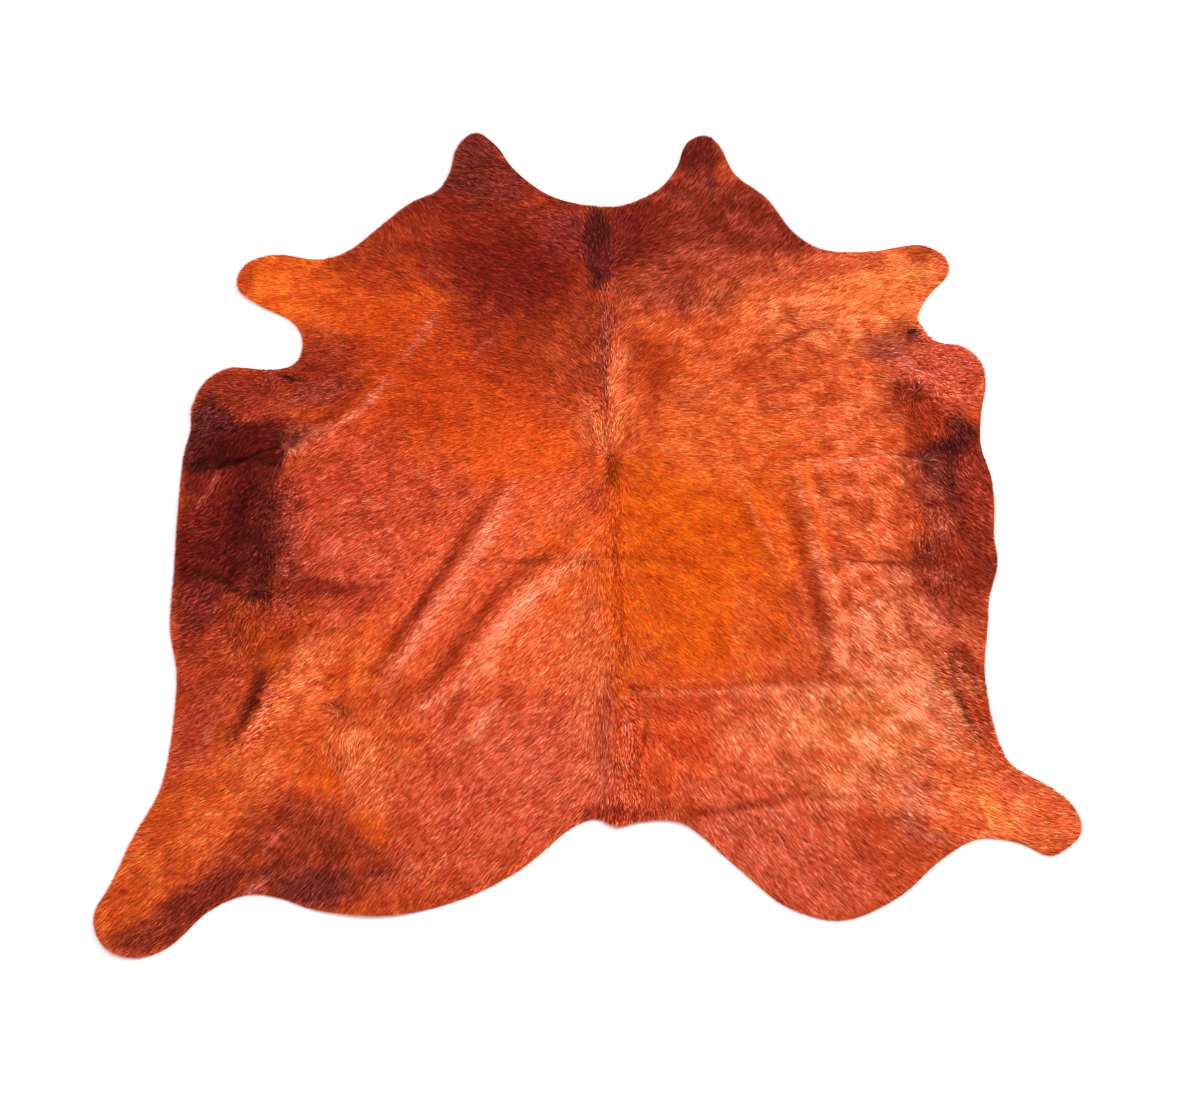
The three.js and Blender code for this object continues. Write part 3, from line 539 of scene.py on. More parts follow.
# All of these lie over the patches. Lines on fold crests and lips are painted highlights, lines in troughs,
# grooves and along creases are painted shade, and the others are darker or paler lines of the coat.
PAINTED_LIGHT_AND_COLOUR_LINES = [
    PaintedLightAndColourLine(
        "left back, outer trough", 28, "#9E3008", 0.6,
        [(-205, 790), (-255, 685), (-305, 585), (-355, 495), (-405, 395), (-450, 310)],
    ),
    PaintedLightAndColourLine(
        "left back, outer crest", 26, "#F88E74", 0.75,
        [(-175, 790), (-225, 675), (-270, 585), (-330, 480), (-385, 380), (-440, 280)],
    ),
    PaintedLightAndColourLine(
        "left back, inner trough", 28, "#A8360A", 0.6,
        [(-45, 640), (-130, 575), (-190, 525), (-245, 445), (-290, 370), (-345, 305), (-420, 270)],
    ),
    PaintedLightAndColourLine(
        "left back, inner crest", 33, "#FF9474", 0.8,
        [(-20, 600), (-95, 545), (-165, 470), (-215, 395), (-255, 320), (-320, 260)],
    ),
    PaintedLightAndColourLine("left loin crest", 22, "#FF9A7C", 0.75, [(-200, 265), (-230, 220), (-270, 175)]),
    PaintedLightAndColourLine("left loin, fore crest", 18, "#FC8C70", 0.7, [(-305, 285), (-335, 260), (-370, 235)]),
    PaintedLightAndColourLine("left loin trough", 15, "#C04818", 0.5, [(-255, 260), (-300, 230), (-365, 205)]),
    PaintedLightAndColourLine(
        "left shoulder crest", 13, "#F4866E", 0.85,
        [(-470, 1050), (-490, 995), (-530, 945), (-580, 910), (-635, 885)],
    ),
    PaintedLightAndColourLine("left shoulder, short", 17, "#E0745C", 0.65, [(-365, 1230), (-400, 1155), (-435, 1095)]),
    PaintedLightAndColourLine("left shoulder, shorter", 15, "#D8604A", 0.5, [(-220, 1170), (-260, 1130), (-300, 1085)]),
    PaintedLightAndColourLine("beside the mane", 13, "#B44408", 0.6, [(-85, 1020), (-35, 950), (-20, 845), (-15, 735)]),
    PaintedLightAndColourLine(
        "ribs trough", 18, "#B84008", 0.7,
        [(390, 785), (405, 710), (415, 625), (430, 530), (445, 450), (455, 380), (465, 305)],
    ),
    PaintedLightAndColourLine(
        "ribs crest", 9, "#FF9A74", 0.8,
        [(420, 810), (430, 725), (445, 625), (460, 525), (475, 450), (475, 380), (480, 310)],
    ),
    PaintedLightAndColourLine("short rib crest", 11, "#FC8444", 0.8, [(285, 790), (320, 715), (345, 645), (370, 575)]),
    PaintedLightAndColourLine("right loin crest", 10, "#FC8644", 0.75, [(275, 420), (290, 360), (300, 305)]),
    PaintedLightAndColourLine("right shoulder line", 9, "#962C02", 0.95, [(365, 1110), (405, 1135), (455, 1165), (510, 1200)]),
    PaintedLightAndColourLine("right chest lip", 8, "#FF9070", 0.85, [(405, 835), (510, 825), (595, 835), (685, 825)]),
    PaintedLightAndColourLine("right chest curl", 9, "#F0806E", 0.9, [(630, 1030), (650, 1050), (680, 1060), (710, 1045)]),
    PaintedLightAndColourLine("right chest, above the lip", 6, "#B84010", 0.5, [(405, 850), (510, 840), (600, 850), (685, 840)]),
    PaintedLightAndColourLine("right belly line", 7, "#98281A", 0.75, [(475, 585), (535, 580), (600, 575), (670, 575)]),
    PaintedLightAndColourLine("right flank line", 7, "#F8A080", 0.85, [(695, 335), (695, 280), (710, 230), (740, 170)]),
    PaintedLightAndColourLine("right flank crease", 7, "#661C0E", 0.8, [(705, 360), (705, 295), (720, 235), (750, 170)]),
    PaintedLightAndColourLine(
        "left flank trough", 24, "#601606", 0.9,
        [(-675, 340), (-680, 295), (-690, 245), (-710, 200), (-740, 170)],
    ),
    PaintedLightAndColourLine("left flank lip", 13, "#F08468", 0.9, [(-650, 305), (-655, 260), (-670, 210), (-695, 165)]),
    PaintedLightAndColourLine("left flank tip", 11, "#EE866E", 0.7, [(-760, 220), (-770, 195), (-775, 170)]),
    PaintedLightAndColourLine(
        "left chest, hind crease", 11, "#1C0202", 0.9,
        [(-880, 790), (-840, 805), (-765, 825), (-720, 850), (-690, 870)],
    ),
    PaintedLightAndColourLine("left chest, short crease", 8, "#240202", 0.85, [(-750, 810), (-705, 815), (-665, 825)]),
    PaintedLightAndColourLine(
        "left belly crease", 11, "#2C0402", 0.85,
        [(-860, 560), (-805, 550), (-755, 525), (-715, 490), (-690, 520)],
    ),
    PaintedLightAndColourLine("left side, short crease", 7, "#8E1E0A", 0.7, [(-620, 520), (-605, 505), (-585, 480)]),
    PaintedLightAndColourLine("left side, second crease", 7, "#A02E10", 0.5, [(-570, 525), (-525, 540), (-465, 530)]),
    PaintedLightAndColourLine("back, across", 9, "#A83806", 0.75, [(-295, 580), (-205, 585), (-125, 575), (-40, 575), (45, 590)]),
    PaintedLightAndColourLine("back, across, right", 7, "#C24806", 0.6, [(40, 585), (125, 590), (225, 580)]),
    PaintedLightAndColourLine("loin, across, above", 7, "#AC3C04", 0.8, [(100, 290), (200, 295), (320, 305), (500, 310)]),
    PaintedLightAndColourLine("loin, across, lip", 9, "#FF8C68", 0.7, [(80, 275), (200, 280), (320, 290), (515, 295)]),
    PaintedLightAndColourLine(
        "beside the croup", 7, "#8E2608", 0.7,
        [(70, 300), (90, 270), (95, 230), (85, 165), (70, 110), (75, 60)],
    ),
    PaintedLightAndColourLine("croup knot", 9, "#7A1E08", 0.8, [(55, 305), (70, 295), (90, 295)]),
    PaintedLightAndColourLine("croup, across the left", 7, "#B04A2A", 0.5, [(-80, 315), (-20, 320), (35, 315)]),
    PaintedLightAndColourLine("croup, pale", 6, "#E0705A", 0.35, [(55, 245), (60, 140), (65, 50)]),
    PaintedLightAndColourLine("back groove", 7, "#A43A02", 0.6, [(35, 800), (45, 685), (30, 590), (45, 495), (45, 380), (55, 290)]),
    PaintedLightAndColourLine("mane stripe", 7, "#9A4A38", 0.7, [(5, 1305), (10, 1205), (15, 1095), (15, 990), (15, 875)]),
    PaintedLightAndColourLine("rump crease", 11, "#A43010", 0.7, [(115, 20), (190, 25), (315, 50), (385, 65), (525, 55)]),
    PaintedLightAndColourLine("left thigh, pale", 13, "#D8685A", 0.75, [(-605, 0), (-625, -30), (-640, -65)]),
    PaintedLightAndColourLine("left thigh edge, pale", 9, "#D8706A", 0.8, [(-620, -100), (-645, -120), (-665, -135)]),
    PaintedLightAndColourLine("left belly, pale strands", 9, "#C8605A", 0.7, [(-810, 795), (-825, 750), (-845, 705)]),
    PaintedLightAndColourLine("left armpit lip", 6, "#DC6C64", 0.85, [(-740, 1065), (-720, 1055), (-705, 1030)]),
    PaintedLightAndColourLine("left armpit eye", 11, "#300606", 0.95, [(-705, 1055), (-675, 1035), (-645, 1030)]),
    PaintedLightAndColourLine("left hip, dark", 13, "#A83C08", 0.85, [(-540, 255), (-525, 260), (-505, 250), (-490, 225)]),
    PaintedLightAndColourLine("right side, hind, dark", 11, "#C2461C", 0.6, [(625, 455), (625, 420), (635, 405)]),
    PaintedLightAndColourLine("right loin, dark", 9, "#B84A1C", 0.6, [(580, 170), (600, 175), (625, 190)]),
    PaintedLightAndColourLine("left rump, dark", 15, "#BC4A2C", 0.5, [(-145, 100), (-125, 60), (-135, 15)]),
]

TUFTS = [
    Tuft("mane", 12, 1080, 280, 30, 90, 18, 4.5, 8, 5600),
    Tuft("neck stripe", -4, 1430, 130, 40, 90, 18, 5.0, 22, 2000),
    Tuft("back line", 34, 560, 270, 20, 91, 18, 5.0, 8, 2600),
    Tuft("croup line", 56, 150, 150, 26, 90, 20, 6.0, 12, 2400),
    Tuft("left belly column", -665, 650, 150, 38, 90, 16, 6.0, 60, 5200),
    Tuft("left belly, inner crease", -650, 470, 70, 60, 0, 18, 6.0, 34, 2200),
    Tuft("left belly", -780, 600, 260, 90, 86, 22, 4.5, 14, 5000),
    Tuft("left belly stripe", -715, 410, 110, 30, 84, 22, 5.5, 20, 1200),
    Tuft("left flank fringe", -655, 250, 110, 26, 75, 22, 6.0, 26, 1700),
    Tuft("left chest", -700, 1045, 50, 30, 0, 18, 6.0, 46, 1300),
    Tuft("left chest, hind", -800, 930, 90, 50, -30, 20, 5.0, 20, 1800),
    Tuft("right belly column", 690, 625, 130, 38, 92, 16, 6.0, 60, 4200),
    Tuft("right belly", 760, 740, 250, 60, 92, 20, 4.5, 16, 3600),
    Tuft("right chest", 735, 1040, 95, 70, 0, 20, 5.5, 30, 2600),
    Tuft("right chest whorl", 686, 1011, 50, 30, 0, 20, 6.5, 40, 1200),
    Tuft("right flank", 730, 270, 130, 45, 115, 22, 5.0, 20, 2000),
    Tuft("right armpit", 694, 1164, 40, 30, 0, 18, 6.0, 40, 800),
    Tuft("tail", 44, 18, 60, 46, 90, 22, 5.0, 14, 900),
]


@dataclass(frozen=True)
class Grid:
    """An even grid of places over the hide, in millimetres, and the reading of values between its points."""

    west: float = -960.0
    south: float = -275.0
    step: float = 3.0
    columns: int = 636
    rows: int = 684

    def places(self) -> tuple[np.ndarray, np.ndarray]:
        """Gives x and y of every grid point, one row of the grid to a row of the array."""
        return np.meshgrid(
            self.west + self.step * np.arange(self.columns),
            self.south + self.step * np.arange(self.rows),
        )

    def window(self, x: np.ndarray, y: np.ndarray, margin: float) -> tuple[slice, slice]:
        """Gives the rows and columns round some points.

        Args:
            x: Places to the right.
            y: Places forwards.
            margin: How far round the points the window reaches.

        Returns:
            The slice of rows and the slice of columns.
        """
        windows = []
        for places, start, count in ((y, self.south, self.rows), (x, self.west, self.columns)):
            edges = np.array([places.min() - margin, places.max() + margin + self.step])
            first, last = np.clip((edges - start) / self.step, 0, count).astype(int)
            windows.append(slice(first, last))
        return tuple(windows)

    def read(self, values: np.ndarray, x: np.ndarray, y: np.ndarray) -> np.ndarray:
        """Reads grid values at any places.

        Args:
            values: One value, or one row of values, to each grid point.
            x: Places to the right.
            y: Places forwards.

        Returns:
            The values at those places, blended between the four grid points round each.
        """
        across = np.clip((x - self.west) / self.step, 0, self.columns - 1.001)
        along = np.clip((y - self.south) / self.step, 0, self.rows - 1.001)
        column, row = across.astype(int), along.astype(int)
        right, up = across - column, along - row
        if values.ndim == 3:
            right, up = right[:, None], up[:, None]
        lower = values[row, column] * (1 - right) + values[row, column + 1] * right
        upper = values[row + 1, column] * (1 - right) + values[row + 1, column + 1] * right
        return lower * (1 - up) + upper * up


GRID = Grid()


@dataclass(frozen=True)
class Lumps:
    """Smooth noise over the hide. width is that of a lump in millimetres, and seed is which noise it is."""

    strength: float
    width: float
    seed: int

    def at(self, x: np.ndarray, y: np.ndarray) -> np.ndarray:
        """Reads the noise.

        Args:
            x: Places to the right.
            y: Places forwards.

        Returns:
            One value for each place, from minus the strength to the strength.
        """
        cells = 256
        table = np.random.default_rng(SEED + self.seed).uniform(-1, 1, (cells, cells))
        across, along = x / self.width, y / self.width
        column, row = np.floor(across).astype(int), np.floor(along).astype(int)
        right, up = across - column, along - row
        right, up = right * right * (3 - 2 * right), up * up * (3 - 2 * up)
        column, row = column % cells, row % cells
        next_column, next_row = (column + 1) % cells, (row + 1) % cells
        lower = table[row, column] * (1 - right) + table[row, next_column] * right
        upper = table[next_row, column] * (1 - right) + table[next_row, next_column] * right
        return self.strength * (lower * (1 - up) + upper * up)


def heaped(sizes: tuple[Lumps, ...], x: np.ndarray, y: np.ndarray, start: float = 0.0) -> np.ndarray:
    """Adds lumps of several sizes up, on top of a starting value."""
    return sum((lumps.at(x, y) for lumps in sizes), start)


def streaks(x: np.ndarray, y: np.ndarray, heading: np.ndarray, seed: int) -> np.ndarray:
    """Gives noise drawn out along the hair, so that the hairs of one lock share a value.

    Args:
        x: Places to the right.
        y: Places forwards.
        heading: Which way the hair lies there, in radians.
        seed: Which noise it is.

    Returns:
        One value for each place, mostly between -1 and 1.
    """
    lock = Lumps(1.0, LOCK_WIDTH, seed)
    total = np.zeros(len(x))
    for step in LOCK_LENGTH * np.linspace(-0.5, 0.5, LOCK_READINGS):
        total += lock.at(x + step * np.cos(heading), y + step * np.sin(heading))
    return total * LOCK_SPREAD / LOCK_READINGS


def linear(colour: str) -> np.ndarray:
    """Turns an sRGB hex colour into linear red, green and blue."""
    shares = np.array([int(colour[i : i + 2], 16) for i in (1, 3, 5)]) / 255
    return np.where(shares <= 0.04045, shares / 12.92, ((shares + 0.055) / 1.055) ** 2.4)


def hump(distance: np.ndarray) -> np.ndarray:
    """Falls smoothly from 1 at the middle to 0 at a distance of 1, and stays 0 beyond."""
    return np.where(distance < 1, (1 - np.minimum(distance, 1) ** 2) ** 2, 0)


def ease(share: np.ndarray) -> np.ndarray:
    """Rises smoothly from 0 to 1 as the share does."""
    held = np.clip(share, 0, 1)
    return held * held * (3 - 2 * held)


def unit(vectors: np.ndarray, least: float = 0.0) -> np.ndarray:
    """Scales vectors to a length of 1, with a least length that keeps those of none from failing."""
    return vectors / (np.linalg.norm(vectors, axis=-1, keepdims=True) + least)


def run_along(line: np.ndarray) -> np.ndarray:
    """Gives how far along a line each of its points is."""
    return np.concatenate([[0], np.cumsum(np.hypot(*np.diff(line, axis=0).T))])


def read_line(line: np.ndarray, run: np.ndarray, stops: np.ndarray) -> np.ndarray:
    """Gives the places at some distances along a line whose points are at the distances in run."""
    return np.column_stack([np.interp(stops, run, line[:, k]) for k in (0, 1)])


def area_inside(line: np.ndarray) -> float:
    """Gives the area inside a closed line, above 0 where it runs anticlockwise."""
    return (line[:, 0] * np.roll(line[:, 1], -1) - line[:, 1] * np.roll(line[:, 0], -1)).sum() / 2


def smooth_route(route: list[tuple[float, float]], steps: int = 14, fine_steps: int = 20) -> np.ndarray:
    """Rounds a route off on a centripetal Catmull-Rom curve.

    Args:
        route: The places that the curve passes through.
        steps: How many even steps it is given in.
        fine_steps: How many steps it is first worked out in, between two places.

    Returns:
        The evenly spaced points of the curve.
    """
    ends = [np.array(place, float) for place in route]
    ends = [2 * ends[0] - ends[1], *ends, 2 * ends[-1] - ends[-2]]
    t = np.linspace(0, 1, fine_steps, endpoint=False)[:, None]
    dense = []
    for before, start, end, after in zip(ends, ends[1:], ends[2:], ends[3:]):
        first, middle, last = (
            np.linalg.norm(b - a) ** 0.5 for a, b in ((before, start), (start, end), (end, after))
        )
        leave = (start - before) / first - (end - before) / (first + middle) + (end - start) / middle
        arrive = (end - start) / middle - (after - start) / (middle + last) + (after - end) / last
        leave, arrive = leave * middle, arrive * middle
        bend = -3 * start + 3 * end - 2 * leave - arrive
        dense.append(start + leave * t + bend * t**2 + (2 * start - 2 * end + leave + arrive) * t**3)
    dense = np.vstack([*dense, ends[-2]])
    run = run_along(dense)
    return read_line(dense, run, np.linspace(0, run[-1], steps + 1))


def nearest_on_route(points: np.ndarray, x: np.ndarray, y: np.ndarray) -> tuple[np.ndarray, ...]:
    """Finds the nearest point of a route to each place.

    Args:
        points: The route's points.
        x: Places to the right.
        y: Places forwards.

    Returns:
        Distance, share of the way along, and side, which is above 0 on the left of someone walking the route.
    """
    distance = np.full(x.shape, np.inf)
    along, side = np.zeros(x.shape), np.zeros(x.shape)
    for i, (start, end) in enumerate(zip(points, points[1:])):
        run = end - start
        off_x, off_y = x - start[0], y - start[1]
        held = np.clip((off_x * run[0] + off_y * run[1]) / (run @ run), 0, 1)
        away = np.hypot(off_x - held * run[0], off_y - held * run[1])
        closer = away < distance
        distance = np.where(closer, away, distance)
        along = np.where(closer, (i + held) / (len(points) - 1), along)
        side = np.where(closer, run[0] * off_y - run[1] * off_x, side)
    return distance, along, side


def in_frame(x: np.ndarray, y: np.ndarray, z: np.ndarray) -> np.ndarray:
    """Turns places on the hide, in millimetres, into points of the frame, in metres."""
    return np.column_stack([x - HIDE_MIDDLE[0], y - HIDE_MIDDLE[1], z]) / 1000


def on_hide(points: np.ndarray) -> np.ndarray:
    """Turns points of the frame, in metres, into places on the hide, in millimetres."""
    return points[:, :2] * 1000 + HIDE_MIDDLE


@dataclass
class CutEdge:
    """The line that the hide was trimmed along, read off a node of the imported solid.

    It is where the solid's wall meets its skin side. A face of the wall is one whose normal rises less than
    wall_rise, and one of the skin side has a normal that falls below skin_fall.
    """

    node: str
    spacing: float = 6.0
    reading: float = 42.0
    roundings: int = 3
    skin_fall: float = -0.3
    wall_rise: float = 0.05

    def __post_init__(self) -> None:
        """Reads the edge and measures every grid point's distance to it."""
        self.line = self._evened(self._walked())
        onwards = np.roll(self.line, -1, axis=0) - np.roll(self.line, 1, axis=0)
        self.outwards = unit(np.column_stack([onwards[:, 1], -onwards[:, 0]]))
        self.depth = self._depths()

    def _walked(self) -> np.ndarray:
        """Walks the lower edge of the node's wall.

        Returns:
            The corners of that edge, anticlockwise.
        """
        mesh = bmesh.new()
        mesh.from_mesh(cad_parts[self.node].data)
        bmesh.ops.remove_doubles(mesh, verts=mesh.verts, dist=1e-6)
        mesh.normal_update()
        neighbours: dict[int, list[int]] = {}
        for edge in mesh.edges:
            slopes = sorted(face.normal.z for face in edge.link_faces)
            if len(slopes) == 2 and slopes[0] < self.skin_fall and abs(slopes[1]) < self.wall_rise:
                for a, b in (edge.verts, reversed(edge.verts)):
                    neighbours.setdefault(a.index, []).append(b.index)
        start = min(neighbours)
        order, before = [start], None
        while True:
            onward = [n for n in neighbours[order[-1]] if n != before]
            before = order[-1]
            if onward[0] == start or len(order) > len(neighbours):
                break
            order.append(onward[0])
        mesh.verts.ensure_lookup_table()
        line = on_hide(np.array([mesh.verts[i].co[:] for i in order]))
        mesh.free()
        return line if area_inside(line) > 0 else line[::-1]

    def _evened(self, corners: np.ndarray) -> np.ndarray:
        """Spaces the line's points evenly and rounds its facets off.

        Args:
            corners: The corners of the line.

        Returns:
            The even points.
        """
        closed = np.vstack([corners, corners[:1]])
        run = run_along(closed)
        count = round(run[-1] / self.spacing)
        line = read_line(closed, run, np.arange(count) * run[-1] / count)
        for _ in range(self.roundings):
            line = (np.roll(line, 1, axis=0) + 2 * line + np.roll(line, -1, axis=0)) / 4
        return line

    def _depths(self) -> np.ndarray:
        """Measures the grid points.

        Returns:
            Each point's distance inside the edge, below 0 outside it, read up to a few centimetres.
        """
        x, y = GRID.places()
        away = np.full(x.shape, self.reading)
        inside = np.zeros(x.shape, bool)
        for start, end in zip(self.line, np.roll(self.line, -1, axis=0)):
            ends = np.array([start, end])
            rows, columns = GRID.window(ends[:, 0], ends[:, 1], self.reading)
            near, _, _ = nearest_on_route(ends, x[rows, columns], y[rows, columns])
            away[rows, columns] = np.minimum(away[rows, columns], near)
            crossed = (start[1] > y[:, 0]) != (end[1] > y[:, 0])
            if crossed.any():
                share = (y[crossed, 0] - start[1]) / (end[1] - start[1])
                inside[crossed] ^= x[crossed] < (start[0] + share * (end[0] - start[0]))[:, None]
        return np.where(inside, away, -away)

    def depth_at(self, x: np.ndarray, y: np.ndarray) -> np.ndarray:
        """Gives how far inside the edge places are."""
        return GRID.read(self.depth, x, y)


@dataclass
class Relief:
    """How high the skin side of the lying hide stands over the floor.

    A fold or crease wavers off its route and fades towards its ends. Beside a crease, a little to the left of
    someone walking its route, lies a band of painted shade. Slopes that face right, towards the window lamp,
    and a little those that face the tail, get painted light, and slopes that face away get painted shade;
    steep is the slope that gets it in full.
    """

    taper: float = 0.5
    fold_waver: Lumps = Lumps(4.0, 80, 4)
    fold_reach: Lumps = Lumps(0.12, 75, 6)
    fold_crest: Lumps = Lumps(0.18, 90, 7)
    crease_waver: Lumps = Lumps(2.0, 26, 3)
    crease_shade_middle: float = 0.45
    crease_shade_reach: float = 0.7
    ripple: float = 1.4
    ripple_middle: float = 0.5
    ripples: tuple[Lumps, ...] = (Lumps(0.35, 95, 1), Lumps(0.15, 38, 2))
    steep: float = 0.28
    painted_light_tail: float = 0.3
    sharp_bend: float = 0.012

    def __post_init__(self) -> None:
        """Adds up the folds, creases, lifts and slight ripples on the grid."""
        x, y = GRID.places()
        height = np.zeros(x.shape)
        self.painted_crease_shade = np.zeros(x.shape)
        for fold in FOLDS:
            points = smooth_route(fold.route)
            window = GRID.window(points[:, 0], points[:, 1], max(fold.left, fold.right))
            near_x, near_y = x[window], y[window]
            waver = self.fold_waver.at(near_x, near_y)
            distance, along, side = nearest_on_route(points, near_x + waver, near_y - waver)
            reach = np.where(side > 0, fold.left, fold.right) * (1 + self.fold_reach.at(near_x, near_y))
            crest = fold.height * (1 + self.fold_crest.at(near_x, near_y))
            height[window] += crest * np.sin(np.pi * along) ** self.taper * hump(distance / reach)
        for crease in CREASES:
            points = smooth_route(crease.route)
            window = GRID.window(points[:, 0], points[:, 1], 2 * crease.reach)
            near_x, near_y = x[window], y[window]
            waver = self.crease_waver.at(near_x, near_y)
            distance, along, side = nearest_on_route(points, near_x + waver, near_y + waver)
            fade = np.sin(np.pi * along) ** self.taper
            height[window] += crease.height * fade * hump(distance / crease.reach)
            # A band of painted shade beside the crease.
            off = np.where(side > 0, distance, -distance) - self.crease_shade_middle * crease.reach
            shade = crease.painted_crease_shade * fade * hump(np.abs(off) / (self.crease_shade_reach * crease.reach))
            self.painted_crease_shade[window] = np.maximum(self.painted_crease_shade[window], shade)
        for swell in SWELLS:
            height += swell.height * hump(np.hypot(x - swell.x, y - swell.y) / swell.reach)
        height += self.ripple * heaped(self.ripples, x, y, self.ripple_middle)
        self.height = height
        self.rise_y, self.rise_x = np.gradient(height, GRID.step)
        # Painted light on slopes that face right and a little towards the tail, painted shade on slopes that
        # face away.
        self.painted_slope_light = np.clip((self.painted_light_tail * self.rise_y - self.rise_x) / self.steep, -1, 1)

    def height_at(self, x: np.ndarray, y: np.ndarray) -> np.ndarray:
        """Gives the height of the skin side over the floor."""
        return GRID.read(self.height, x, y)

    def normal_at(self, x: np.ndarray, y: np.ndarray) -> np.ndarray:
        """Gives the direction that the hide's surface faces."""
        slopes = [-GRID.read(rise, x, y) for rise in (self.rise_x, self.rise_y)]
        return unit(np.column_stack([*slopes, np.ones(len(x))]))

    def busy(self) -> np.ndarray:
        """Tells which grid points lie where the hide bends, and need a finer mesh."""
        bend = np.abs(np.gradient(self.rise_x, axis=1)) + np.abs(np.gradient(self.rise_y, axis=0))
        return (bend > self.sharp_bend).astype(float)


@dataclass
class Combing:
    """The heading of the lying hair all over the hide.

    evenness keeps a comb from ruling its own place alone, and core is the still middle of a whorl.
    """

    evenness: float = 0.03
    core: float = 1.0
    least: float = 1e-9

    def __post_init__(self) -> None:
        """Blends the combed places and whorls on the grid."""
        x, y = GRID.places()
        way = np.zeros(x.shape + (2,))
        for comb in COMBS:
            near = ((x - comb.x) ** 2 + (y - comb.y) ** 2) / comb.reach**2
            share = (near + self.evenness) ** -2
            heading = math.radians(comb.heading)
            way += share[..., None] * np.array([math.cos(heading), math.sin(heading)])
        way = unit(way, self.least)
        for whorl in WHORLS:
            off = np.stack([x - whorl.x, y - whorl.y], axis=2)
            distance = np.linalg.norm(off, axis=2)[..., None]
            spin = math.radians(whorl.spin)
            turned = off @ np.array([[math.cos(spin), math.sin(spin)], [-math.sin(spin), math.cos(spin)]])
            share = np.exp(-((distance / whorl.reach) ** 2))
            way = way * (1 - share) + share * turned / (distance + self.core)
        self.way = unit(way, self.least)

    def heading_at(self, x: np.ndarray, y: np.ndarray) -> np.ndarray:
        """Gives the heading in radians."""
        way = GRID.read(self.way, x, y)
        return np.arctan2(way[:, 1], way[:, 0])


